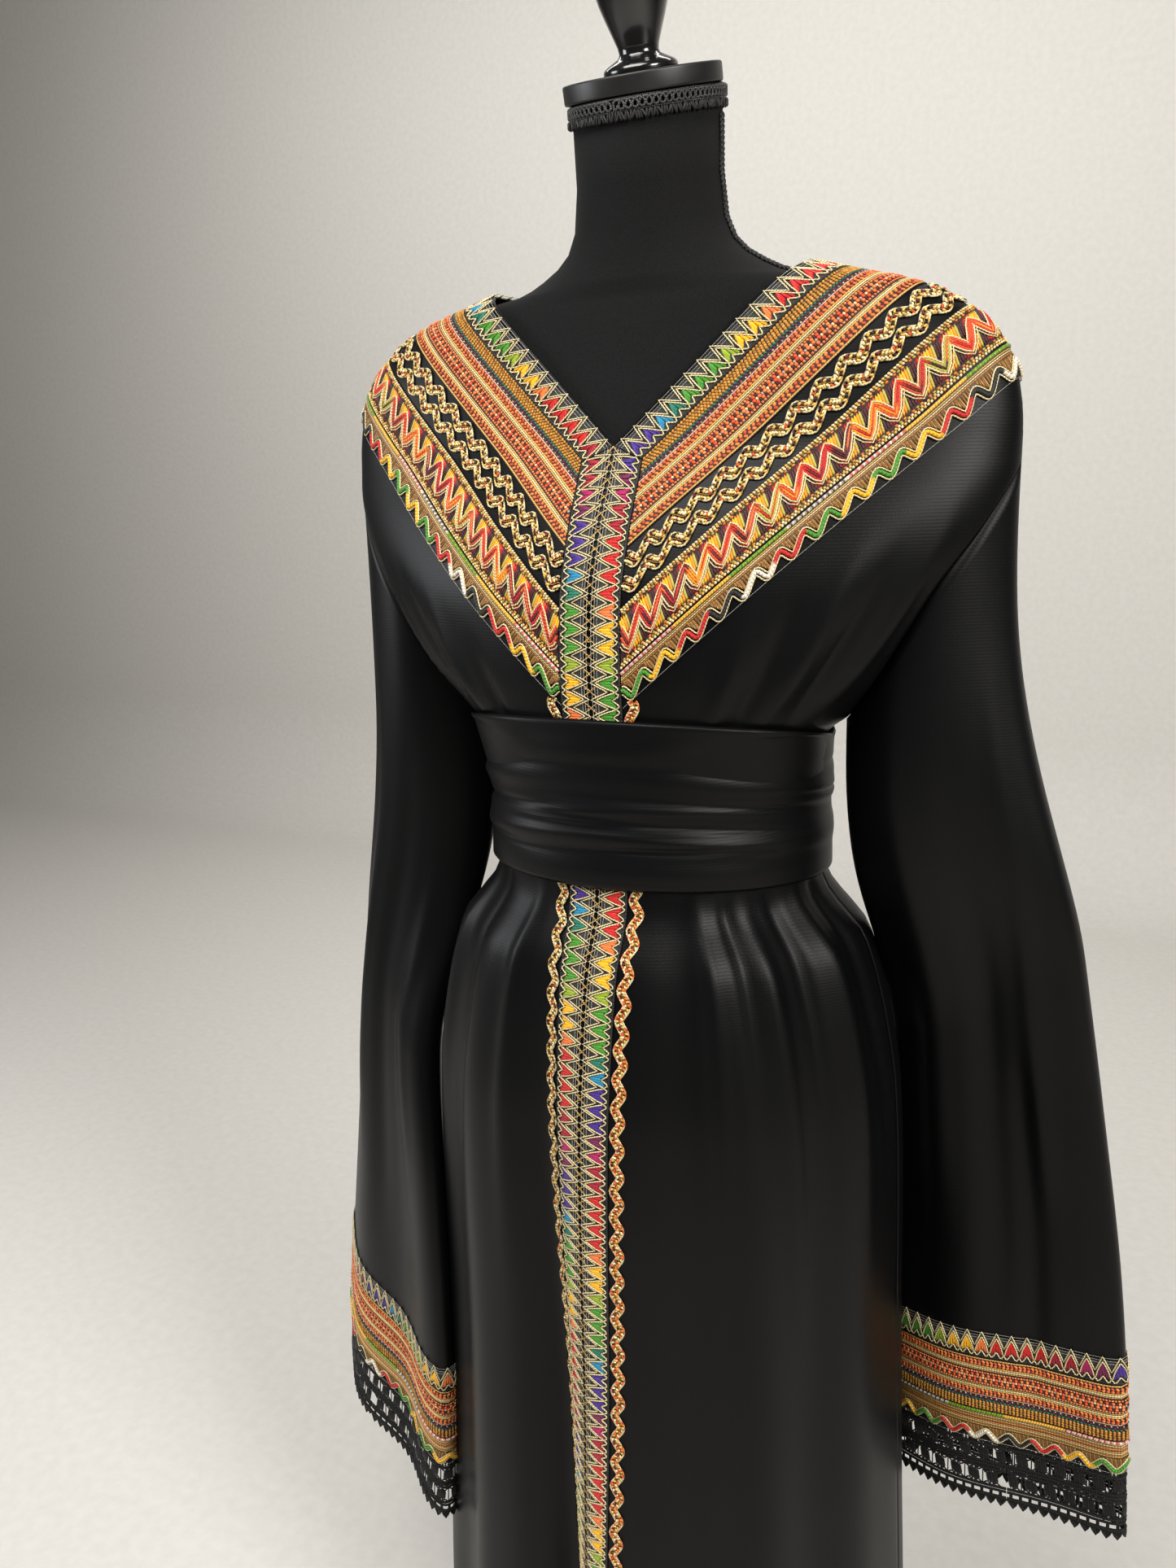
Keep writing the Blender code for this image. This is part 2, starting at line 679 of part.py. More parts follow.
def tube(name, points, radius, colour, roughness):
    """Cord along a line of points."""
    curve = bpy.data.curves.new(name, "CURVE")
    curve.dimensions = "3D"
    curve.bevel_depth = radius
    curve.bevel_resolution = 1
    curve.use_fill_caps = True
    spline = curve.splines.new("POLY")
    spline.points.add(len(points) - 1)
    for target, point in zip(spline.points, points):
        target.co = (*point, 1.0)
    return add_object(name, curve, colour, roughness)


# Dress panels

ARMHOLE_ANGLES = [2 * pi * k / SLEEVE_COLUMNS for k in range(SLEEVE_COLUMNS // 2 + 1)]
ARMHOLE_ROWS = [TIP_HEIGHT - (TIP_HEIGHT - UNDERARM_HEIGHT) * (1 - cos(a)) / 2 for a in ARMHOLE_ANGLES][::-1]
WAIST_ROWS = [0.905, 0.967, 1.030, 1.068, 1.079]
SKIRT_ROWS = [HEM_HEIGHT, 0.190, 0.350, 0.510, 0.660, 0.775, 0.850]
FRONT_TOP_ROWS = [NECK_POINT_HEIGHT, 1.306, 1.324, 1.342, 1.360, 1.375, 1.385] + SHOULDER_ROWS + [PANEL_TOP]
BACK_TOP_ROWS = [1.310, 1.342, 1.366, NECK_BACK_HEIGHT] + SHOULDER_ROWS + [PANEL_TOP]
FRONT_ROWS = SKIRT_ROWS + WAIST_ROWS + ARMHOLE_ROWS + FRONT_TOP_ROWS
BACK_ROWS = SKIRT_ROWS + WAIST_ROWS + ARMHOLE_ROWS + BACK_TOP_ROWS
FRONT_HALF_COLUMNS = 10
BACK_HALF_COLUMNS = 9
FRONT_CROWDING = 1.25    # packs the front's columns towards its centre, 1 for even ones


def seam_turn(height, depth_name):
    """Angle that a panel stops short of its seam, for the gap there."""
    gap = SHOULDER_GAP if height > TIP_HEIGHT + 0.001 else TIP_GAP if height > TIP_HEIGHT - 0.001 else SEAM_GAP
    return gap / 2 / smooth(BODY, depth_name, height)


def panel(name, heights, half_columns, neck_angle, depth_name, back):
    """One dress panel: level rows from the hem up, open at the neck and the armholes."""
    points = []
    index = {}
    centre = {}
    faces = []
    crowding = 1.0 if back else FRONT_CROWDING
    for side in (-1, 1):
        for j, height in enumerate(heights):
            start = neck_angle(height)
            end = edge_angle(height) - seam_turn(height, depth_name)
            for i in range(half_columns + 1):
                angle = start + (end - start) * (i / half_columns) ** crowding
                if i == 0 and j in centre:
                    index[side, i, j] = centre[j]
                    continue
                index[side, i, j] = len(points)
                if i == 0 and start == 0:
                    centre[j] = len(points)
                angle = pi - angle if back else angle
                points.append(body_point(side * angle, height))
        for j in range(len(heights) - 1):
            for i in range(half_columns):
                face = [index[side, i, j], index[side, i + 1, j], index[side, i + 1, j + 1], index[side, i, j + 1]]
                faces.append(face if side * (-1 if back else 1) > 0 else face[::-1])
    mesh = bpy.data.meshes.new(name)
    mesh.from_pydata(points, [], faces)
    thing = add_object(name, mesh, SATIN, 0.30)
    wall = thing.modifiers.new("wall", "SOLIDIFY")
    wall.thickness = WALL
    wall.offset = -1.0
    wall.use_even_offset = True
    return points, faces


def front_neck_angle(height):
    """Angle of the V neck's edge at a height."""
    if height <= NECK_POINT_HEIGHT:
        return 0.0
    return asin(min(1.0, neck_edge_x(height) / smooth(BODY, "half_width", height)))


def back_neck_angle(height):
    """Angle of the back neck's edge from the centre back, at a height."""
    if height <= NECK_BACK_HEIGHT:
        return 0.0
    side_x, back_y = back_neck_ends(0.0)
    across = (smooth(BODY, "half_width", height) / side_x) ** 2
    deep = (smooth(BODY, "back_depth", height) / back_y) ** 2
    return asin(min(1.0, sqrt((1 - deep) / (across - deep))))


def dress_panels():
    """Front and back, each cut in one length; gives their faces back as one skin."""
    points, faces = panel("dress_front", FRONT_ROWS, FRONT_HALF_COLUMNS, front_neck_angle, "front_depth", False)
    more, behind = panel("dress_back", BACK_ROWS, BACK_HALF_COLUMNS, back_neck_angle, "back_depth", True)
    shifted = [[v + len(points) for v in face] for face in behind]
    return skin_of(points + more, faces + shifted)


# Yoke bands, neck braid and centre front

def band_line(side, distance, first, last, counts):
    """Points along a yoke line: evenly spaced up to the shoulder, then evenly spaced behind it."""
    def point(angle):
        return band_point(side, distance, angle)

    before = even_angles(point, first, pi / 2, counts[0])
    behind = even_angles(point, pi / 2, last, counts[1])
    return [point(angle) for angle in before + behind[1:]]


def facing_out(grid, side):
    """The same grid with its faces outwards on either side of the body."""
    return grid if side > 0 else [line[::-1] for line in grid]


def yoke_strip(name, side, skin, lines, start, end, counts, colour):
    """Band whose long edges and inner lines each lie at a distance from the neck edge."""
    runs = [band_line(side, line, strip_angle(line, start), end, counts) for line in lines]
    grid = [list(across) for across in zip(*runs)]
    grid = sewn_on(facing_out(grid, side), skin)
    shell(name, grid, TRIM_WALL, True, colour, 0.6)


def repeat_angles(side, distance, first, period):
    """Angles along a yoke line, two to a repeat, and as many whole repeats as fit."""
    def point(angle):
        return band_point(side, distance, angle)

    run = [point(first + (YOKE_BACK_END - first) * k / LINE_SAMPLES) for k in range(LINE_SAMPLES + 1)]
    length = sum((after - before).length for before, after in zip(run, run[1:]))
    return even_angles(point, first, YOKE_BACK_END, 2 * int(length / period))


def yoke_scallop(name, side, skin):
    """Edging whose outer edge is a row of points."""
    valley = SCALLOP_OUTER - SCALLOP_DEPTH
    grid = []
    for k, angle in enumerate(repeat_angles(side, valley, strip_angle(valley, CENTRE_STRIP), SCALLOP_PERIOD)):
        tip = SCALLOP_OUTER if k % 2 else valley
        ends = [max(angle, strip_angle(line, CENTRE_STRIP)) for line in (SCALLOP_INNER, tip)]
        grid.append([band_point(side, SCALLOP_INNER, ends[0]), band_point(side, tip, ends[1])])
    grid = sewn_on(facing_out(grid, side), skin)
    shell(name, grid, TRIM_WALL, True, BRONZE, 0.6)


def ribbon(centres, normals, width):
    """Left and right points of a narrow ribbon along a zigzag of centres, mitred at each corner."""
    grid = []
    for k, centre in enumerate(centres):
        before = centres[max(k - 1, 0)]
        after = centres[min(k + 1, len(centres) - 1)]
        into = (centre - before).normalized() if k else (after - centre).normalized()
        out = (after - centre).normalized() if k < len(centres) - 1 else into
        tangent = (into + out).normalized()
        across = normals[k].cross(tangent).normalized()
        stretch = 1.0 / max(0.6, tangent.dot(into))
        grid.append([centre + across * width / 2 * stretch, centre - across * width / 2 * stretch])
    return grid


def yoke_rickrack(name, side, skin, distance):
    """Zigzag tape that swings either side of a yoke line."""
    first = strip_angle(distance + RICKRACK_SWING, CENTRE_STRIP + RICKRACK_WIDTH / 2)
    centres = []
    normals = []
    for k, angle in enumerate(repeat_angles(side, distance, first, RICKRACK_PERIOD)):
        swing = RICKRACK_SWING if k % 2 else -RICKRACK_SWING
        turn, height = band_place(distance + swing, angle)
        centres.append(on_panel(side * turn, height))
        normals.append(body_normal(side * turn, height))
    grid = ribbon(centres, normals, RICKRACK_WIDTH)
    shell(name, sewn_on(grid, skin), TRIM_WALL, True, GOLD, 0.5)


def centre_turn(offset, height):
    """Angle round the body at a distance along the cloth from the centre front."""
    step = STRIP_TURN if offset > 0 else -STRIP_TURN
    turn = -STRIP_DRIFT * max(0.0, (SKIRT_TOP - height) / (SKIRT_TOP - HEM_HEIGHT))
    here = body_point(turn, height)
    left = abs(offset)
    while True:
        after = body_point(turn + step, height)
        length = (after - here).length
        if length >= left:
            return turn + step * left / length
        left -= length
        turn += step
        here = after


def centre_point(offset, height):
    """Point on the dress beside the centre front line."""
    return on_panel(centre_turn(offset, height), height)


def centre_braid(name, side, skin):
    """One of the two braids that run side by side from the neck's point to the hem."""
    heights = [row for row in FRONT_ROWS if row < CENTRE_TOP - 0.01]
    heights[0] += CENTRE_HEM_RISE
    near = CENTRE_GAP / 2
    far = near + CENTRE_BRAID_WIDTH
    grid = [[centre_point(side * near, height), centre_point(side * far, height)] for height in heights]
    slope_top = CENTRE_TOP + CENTRE_BRAID_WIDTH / NECK_SLOPE
    grid.append([centre_point(side * near, CENTRE_TOP), centre_point(side * far, slope_top)])
    grid = sewn_on(facing_out(grid, side), skin)
    shell(name, grid, TRIM_WALL, True, GREEN, 0.6)


def centre_rickrack(name, side, skin):
    """Zigzag tape beside the centre braid, from under the yoke to the hem."""
    count = int((RICKRACK_TOP - HEM_HEIGHT) / (RICKRACK_PERIOD / 2))
    heights = [RICKRACK_TOP - RICKRACK_PERIOD / 2 * k for k in range(count + 1)]
    centres = []
    normals = []
    for k, height in enumerate(heights):
        swing = RICKRACK_SWING * (1 if k % 2 else -1)
        offset = side * (RICKRACK_CENTRE + swing)
        centres.append(centre_point(offset, height))
        normals.append(body_normal(centre_turn(offset, height), height))
    grid = ribbon(centres, normals, RICKRACK_WIDTH)
    shell(name, sewn_on(grid, skin), TRIM_WALL, True, GOLD, 0.5)


def chest_trims(skin):
    """Everything sewn on the chest, shoulders and centre front."""
    behind = pi - CENTRE_GAP / smooth(BODY, "back_depth", NECK_BACK_HEIGHT)
    end = YOKE_BACK_END
    for word, side in (("left", 1), ("right", -1)):
        name = "neck_braid_" + word
        yoke_strip(name, side, skin, NECK_BRAID_EDGES, CENTRE_GAP, behind, NECK_BRAID_SEGMENTS, GREEN)
        yoke_strip("yoke_chevron_" + word, side, skin, CHEVRON_LINES, CENTRE_STRIP, end, YOKE_SEGMENTS, ORANGE)
        yoke_strip("yoke_zigzag_" + word, side, skin, ZIGZAG_LINES, CENTRE_STRIP, end, YOKE_SEGMENTS, GOLD)
        yoke_scallop("yoke_scallop_" + word, side, skin)
        yoke_rickrack("yoke_rickrack_inner_" + word, side, skin, INNER_RICKRACK_LINE)
        yoke_rickrack("yoke_rickrack_outer_" + word, side, skin, OUTER_RICKRACK_LINE)
        centre_braid("centre_braid_" + word, side, skin)
        centre_rickrack("centre_rickrack_" + word, side, skin)


# Sleeves, cuffs and lace

def sleeve_tube(sleeve):
    """Straight sleeve from the armhole to the end of the satin; gives its face back as a skin."""
    tops = [satin_end(sleeve, k) + CUFF_TRIM_TOP for k in range(SLEEVE_COLUMNS)]
    starts = [sleeve_seam(sleeve, 2 * pi * k / SLEEVE_COLUMNS).z for k in range(SLEEVE_COLUMNS)]
    grid = [[sleeve_point(sleeve, k, start - ARMHOLE_GAP) for k, start in enumerate(starts)]]
    for share in SLEEVE_SHARES:
        heights = [start + (top - start) * share for start, top in zip(starts, tops)]
        grid.append([sleeve_point(sleeve, k, height) for k, height in enumerate(heights)])
    grid.append([cuff_point(sleeve, k, 0.0) for k in range(SLEEVE_COLUMNS)])
    grid = facing_out(grid, sleeve.side)
    shell("sleeve_" + sleeve.name, grid, WALL, False, SATIN, 0.30, closed=True)
    points = [point for line in grid for point in line]
    return skin_of(points, grid_faces(len(grid), SLEEVE_COLUMNS, True, ()))


def cuff_strip(sleeve, skin, name, top, bottom, colour):
    """Band round the cuff, between two rises above the end of the satin."""
    grid = [[cuff_point(sleeve, k, rise) for k in range(SLEEVE_COLUMNS)] for rise in (top, bottom)]
    grid = sewn_on(facing_out(grid, sleeve.side), skin, closed=True)
    shell(name, grid, TRIM_WALL, True, colour, 0.6, closed=True)


def cuff_scallop(sleeve, skin, name):
    """Edging with a row of points that covers the top of the lace."""
    top = []
    tips = []
    for k in range(2 * SLEEVE_COLUMNS):
        top.append(cuff_between(sleeve, k / 2, CUFF_SCALLOP_TOP))
        tips.append(cuff_between(sleeve, k / 2, CUFF_SCALLOP_TIPS[k % 2]))
    grid = sewn_on(facing_out([top, tips], sleeve.side), skin, closed=True)
    shell(name, grid, TRIM_WALL, True, BRONZE, 0.6, closed=True)


def lace_half(sleeve, name, first_column):
    """Half of the lace, with two rows of openings and a toothed lower edge."""
    steps = SLEEVE_COLUMNS // 2 * LACE_STEPS
    columns = [first_column + k / LACE_STEPS for k in range(steps + 1)]
    columns[0] += LACE_SIDE_GAP
    columns[-1] -= LACE_SIDE_GAP
    grid = [[cuff_between(sleeve, c, line) for c in columns] for line in LACE_LINES]
    grid.append([cuff_between(sleeve, c, LACE_PICOTS[k % 2]) for k, c in enumerate(columns)])
    holes = {(line, j) for line in LACE_HOLE_LINES for j in range(1, steps, 2)}
    grid = moved_out(facing_out(grid, sleeve.side), -LACE_INSET)
    shell(name, grid, LACE_WALL, False, LACE, 0.7, holes=holes)


def sleeves():
    """Both sleeves with their trims and lace."""
    for sleeve in SLEEVES:
        skin = sleeve_tube(sleeve)
        braid_end = CUFF_CHEVRON_TOP + CUFF_BAND_GAP
        chevron_end = CUFF_SCALLOP_TOP + CUFF_BAND_GAP
        cuff_strip(sleeve, skin, "cuff_braid_" + sleeve.name, CUFF_BRAID_TOP, braid_end, GREEN)
        cuff_strip(sleeve, skin, "cuff_chevron_" + sleeve.name, CUFF_CHEVRON_TOP, chevron_end, ORANGE)
        cuff_scallop(sleeve, skin, "cuff_scallop_" + sleeve.name)
        for word, first_column in LACE_STARTS:
            lace_half(sleeve, "lace_" + sleeve.name + "_" + word, first_column)


# Sash

def sash():
    """Wide belt round the waist, gathered into soft level folds."""
    inner = []
    outer = []
    for level in range(SASH_ROWS + 1):
        share = level / SASH_ROWS
        inner.append([])
        outer.append([])
        for k in range(SASH_COLUMNS):
            angle = 2 * pi * k / SASH_COLUMNS
            front = max(0.0, cos(angle))
            bottom = SASH_BOTTOM_SIDE + SASH_BOTTOM_RISE * front
            top = SASH_TOP_SIDE + SASH_TOP_RISE * front
            height = bottom + (top - bottom) * share
            face = body_point(angle, max(height, SASH_SHAPE_LOW), SASH_STANDOFF)
            face.z = height
            lift = SASH_WALL
            for gather in SASH_GATHERS:
                near = exp(-((share - gather.level) / SASH_GATHER_WIDTH) ** 2)
                lift += gather.depth * near * bump(degrees(angle), gather.angle, gather.spread)
            away = Vector((face.x, face.y, 0)).normalized()
            inner[-1].append(face)
            outer[-1].append(face + away * lift)
    ring = [inner[level] for level in SASH_INNER_LEVELS[::-1]] + outer
    points = [point for line in ring for point in line]
    faces = grid_faces(len(ring), SASH_COLUMNS, True, ())
    last = (len(ring) - 1) * SASH_COLUMNS
    for k in range(SASH_COLUMNS):
        after = (k + 1) % SASH_COLUMNS
        faces.append((last + k, last + after, after, k))
    mesh = bpy.data.meshes.new("sash")
    mesh.from_pydata(points, [], faces)
    add_object("sash", mesh, SATIN, 0.32)


# Dress form

def form_ring(section, lean):
    """One level ring of the form; lean tips it forward with the neck."""
    ring = []
    for k in range(FORM_COLUMNS):
        angle = 2 * pi * k / FORM_COLUMNS
        depth = section.front_depth if cos(angle) > 0 else section.back_depth
        y = -depth * cos(angle)
        ring.append(Vector((section.half_width * sin(angle), y, section.height + lean * tan(NECK_TILT) * y)))
    return ring


def neck_ring(number):
    """Ring of the neck; the rings tip further forward towards the top."""
    lean = (number / (len(FORM_NECK) - 1)) ** 2
    return form_ring(FORM_NECK[number], lean)


def form_torso():
    """Jersey torso with closed ends; its shoulders follow the dress from just inside it."""
    grid = [form_ring(section, 0.0) for section in FORM_TORSO]
    for height in SHOULDER_ROWS:
        width = smooth(BODY, "half_width", height)
        front = smooth(BODY, "front_depth", height) * FORM_SHOULDER_DEPTH
        back = smooth(BODY, "back_depth", height) * FORM_SHOULDER_DEPTH
        grid.append(form_ring(FormSection(height - WALL - REST_GAP, width, front, back), 0.0))
    grid += [neck_ring(k) for k in range(len(FORM_NECK))]
    points = [point for line in grid for point in line]
    faces = grid_faces(len(grid), FORM_COLUMNS, True, ())
    top = (len(grid) - 1) * FORM_COLUMNS
    faces.append(tuple(range(FORM_COLUMNS))[::-1])
    faces.append(tuple(range(top, top + FORM_COLUMNS)))
    mesh = bpy.data.meshes.new("form_torso")
    mesh.from_pydata(points, [], faces)
    add_object("form_torso", mesh, JERSEY, 0.85)


def neck_frame():
    """Place of the neck's top: the disc, gimp and finial stand on it, tipped forward."""
    top = FORM_NECK[-1]
    middle = (top.back_depth - top.front_depth) / 2
    place = Matrix.Translation((0.0, middle, top.height + tan(NECK_TILT) * middle))
    return place @ Matrix.Rotation(NECK_TILT, 4, "X")


def neck_fittings():
    """Wooden disc on the neck, its turned finial, and the gimp wound round just below."""
    disc_edge = [
        (0.0, DISC_THICKNESS), (DISC_RADIUS - 0.002, DISC_THICKNESS), (DISC_RADIUS, DISC_THICKNESS - 0.002),
        (DISC_RADIUS, 0.0015), (DISC_RADIUS - 0.0015, 0.0), (0.0, 0.0),
    ]
    disc = turned("form_neck_disc", disc_edge, 24, GLOSS_BLACK, 0.25)
    disc.matrix_world = neck_frame() @ Matrix.Translation((0, 0, SEAT_GAP))
    finial = turned("form_finial", FINIAL_PROFILE, 14, GLOSS_BLACK, 0.20)
    finial.matrix_world = neck_frame() @ Matrix.Translation((0, 0, DISC_THICKNESS + 2 * SEAT_GAP))
    high = neck_ring(len(FORM_NECK) - 1)
    low = neck_ring(len(FORM_NECK) - 2)
    grid = []
    for drop in (GIMP_TOP + GIMP_HEIGHT, GIMP_TOP):
        share = drop / (FORM_NECK[-1].height - FORM_NECK[-2].height)
        grid.append([above.lerp(below, share) for above, below in zip(high, low)])
    grid = moved_out(grid, TRIM_GAP, closed=True)
    shell("form_neck_gimp", grid, GIMP_WALL, True, GLOSS_BLACK, 0.8, closed=True)


def side_cords():
    """Braided cords that cover the form's side seams, from under the gimp to the shoulders."""
    start = FORM_NECK[-1].height - GIMP_TOP - GIMP_HEIGHT - 2 * CORD_RADIUS
    outline = [(section.half_width, section.height) for section in reversed(FORM_NECK)]
    outline[0] = (outline[0][0], start)
    for height in reversed(SHOULDER_ROWS):
        outline.append((smooth(BODY, "half_width", height), height - WALL - REST_GAP))
    outline = [Vector((x, 0.0, z)) for x, z in outline]
    route = []
    for k in range(len(outline) - 1):
        into = (outline[k] - outline[max(k - 1, 0)]).normalized() if k else None
        out = (outline[k + 1] - outline[k]).normalized()
        into = into or out
        along = (into + out).normalized()
        away = Vector((-along.z, 0.0, along.x))
        route.append(outline[k] + away * (CORD_RADIUS + SEAT_GAP) / along.dot(into))
    route = [point for point in route if point.x < CORD_END]
    for word, side in (("left", 1), ("right", -1)):
        points = [(side * point.x, point.y, point.z) for point in route]
        tube("form_side_cord_" + word, points, CORD_RADIUS, GLOSS_BLACK, 0.8)


def stand():
    """Pole and round base that carry the form."""
    bottom = BASE_THICKNESS + SEAT_GAP
    top = FORM_BOTTOM - SEAT_GAP
    pole_edge = [(0.0, top), (POLE_RADIUS, top), (POLE_RADIUS, bottom), (0.0, bottom)]
    turned("stand_pole", pole_edge, 20, STEEL_BLACK, 0.4, 0.8)
    base_edge = [
        (0.0, BASE_THICKNESS), (BASE_RADIUS - 0.006, BASE_THICKNESS), (BASE_RADIUS, BASE_THICKNESS - 0.005),
        (BASE_RADIUS, 0.0), (0.0, 0.0),
    ]
    turned("stand_base", base_edge, 32, STEEL_BLACK, 0.4, 0.8)


chest_trims(dress_panels())
sleeves()
sash()
form_torso()
neck_fittings()
side_cords()
stand()
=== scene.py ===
# %% [markdown]
# # A black Kabyle dress on a dress form
#
# The dress is black satin. Braids, woven bands, rick-rack and corded edging are sewn along its V neck, down its
# centre front and round its cuffs, and black lace hangs below the cuffs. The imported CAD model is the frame: it says
# where each piece goes, and each piece made here stands for one of its nodes.

# %% Load the frame
import json
from contextlib import contextmanager
from math import cos, pi, radians, sin, sqrt, tan

import bmesh
import bpy
import numpy as np
from mathutils import Matrix, Vector

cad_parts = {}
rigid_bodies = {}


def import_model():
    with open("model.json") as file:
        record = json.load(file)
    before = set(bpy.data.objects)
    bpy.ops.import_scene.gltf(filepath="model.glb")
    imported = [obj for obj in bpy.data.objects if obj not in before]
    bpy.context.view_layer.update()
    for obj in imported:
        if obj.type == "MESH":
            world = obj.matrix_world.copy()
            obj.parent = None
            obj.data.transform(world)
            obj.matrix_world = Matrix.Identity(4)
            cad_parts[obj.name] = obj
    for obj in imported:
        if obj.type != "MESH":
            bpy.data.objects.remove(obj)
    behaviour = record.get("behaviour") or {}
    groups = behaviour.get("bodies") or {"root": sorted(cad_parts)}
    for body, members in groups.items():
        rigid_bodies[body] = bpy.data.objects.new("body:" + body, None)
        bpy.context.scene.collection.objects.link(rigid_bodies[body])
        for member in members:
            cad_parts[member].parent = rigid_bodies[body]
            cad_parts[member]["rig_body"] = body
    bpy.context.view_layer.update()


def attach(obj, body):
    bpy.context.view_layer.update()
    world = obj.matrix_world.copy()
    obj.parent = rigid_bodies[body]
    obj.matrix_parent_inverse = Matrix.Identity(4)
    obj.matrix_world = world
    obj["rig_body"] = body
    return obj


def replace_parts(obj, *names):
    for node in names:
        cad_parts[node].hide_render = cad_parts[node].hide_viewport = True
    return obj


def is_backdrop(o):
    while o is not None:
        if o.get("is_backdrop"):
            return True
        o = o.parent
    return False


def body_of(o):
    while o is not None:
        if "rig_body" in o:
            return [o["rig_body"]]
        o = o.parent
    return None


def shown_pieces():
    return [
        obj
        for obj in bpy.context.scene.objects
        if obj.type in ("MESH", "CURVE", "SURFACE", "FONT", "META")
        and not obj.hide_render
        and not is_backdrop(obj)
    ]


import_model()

# %% [markdown]
# ## The shape of the dress
#
# The dress was lofted from a short table of widths and depths, one row for each height. The same table is used here,
# so that the fine surface lies on the CAD surface. A curve through a table's rows that never overshoots keeps the
# waist and the shoulders as they were drawn.

# %% Tables of the body
HEM_HEIGHT, SKIRT_TOP, UNDERARM_HEIGHT, TIP_HEIGHT = 0.030, 0.985, 1.090, 1.270
NECK_SIDE_HEIGHT, NECK_POINT_HEIGHT, NECK_HALF_WIDTH, NECK_BACK_HEIGHT = 1.408, 1.290, 0.122, 1.384
ARMHOLE_LEAN, PANEL_TOP, STRIP_DRIFT = radians(21), 1.4045, radians(5)
NECK_SLOPE = NECK_HALF_WIDTH / (NECK_SIDE_HEIGHT - NECK_POINT_HEIGHT)
BAND_REACH = sqrt(1 + NECK_SLOPE ** 2)
YOKE_LOW, YOKE_LOW_SHARE, YOKE_FULL, BACK_DROP = 1.10, 0.915, 1.30, 0.95
YOKE_BACK_END = radians(108)
WALL, SHOULDER_GAP, SEAM_GAP, ARMHOLE_GAP = 0.0014, 0.0012, 0.0004, 0.0009
FOLD_START, SMALL_FOLD_GAIN = 0.06, 1.35
SIDES = {"left": 1, "right": -1}

# Height, half width, front depth and back depth
BODY = np.array([
    (0.030, 0.222, 0.176, 0.172), (0.265, 0.214, 0.169, 0.160), (0.410, 0.208, 0.164, 0.153),
    (0.580, 0.202, 0.160, 0.147), (0.726, 0.198, 0.162, 0.141), (0.794, 0.194, 0.161, 0.136),
    (0.857, 0.184, 0.155, 0.128), (0.917, 0.167, 0.145, 0.117), (0.967, 0.134, 0.1245, 0.103),
    (1.030, 0.132, 0.1225, 0.100), (1.070, 0.1335, 0.1226, 0.100), (1.078, 0.136, 0.1230, 0.100),
    (1.090, 0.151, 0.1238, 0.101), (1.105, 0.166, 0.1248, 0.101), (1.135, 0.194, 0.1270, 0.101),
    (1.180, 0.228, 0.1240, 0.099), (1.234, 0.257, 0.1050, 0.095), (1.270, 0.264, 0.0850, 0.090),
    (1.290, 0.264, 0.0750, 0.086), (1.323, 0.260, 0.0660, 0.079), (1.342, 0.252, 0.0620, 0.074),
    (1.360, 0.238, 0.0590, 0.069), (1.375, 0.220, 0.0565, 0.0640), (1.385, 0.2015, 0.0550, 0.0605),
    (1.392, 0.181, 0.0540, 0.0580), (1.3975, 0.160, 0.0530, 0.0565), (1.4025, 0.141, 0.0524, 0.0558),
    (1.408, 0.122, 0.0520, 0.0550),
])

# Angle, width in degrees, depth at the waist and depth at the hem
SKIRT_FOLDS = [
    (25, 9, -0.005, -0.011), (38, 10, 0.004, 0.008), (52, 10, -0.004, -0.007), (66, 9, 0.003, 0.004),
    (4, 6, 0, 0.006), (-12, 6.5, 0, -0.054), (-35, 9, 0.004, 0.009), (-49, 9, -0.004, -0.006),
    (-63, 12, 0.003, 0.011), (102, 14, 0.005, 0.004), (128, 10, -0.004, -0.008), (146, 11, 0.004, 0.008),
    (165, 10, -0.004, -0.009), (183, 11, 0.004, 0.009), (202, 10, -0.004, -0.008), (220, 11, 0.004, 0.008),
    (240, 10, -0.003, -0.006),
]

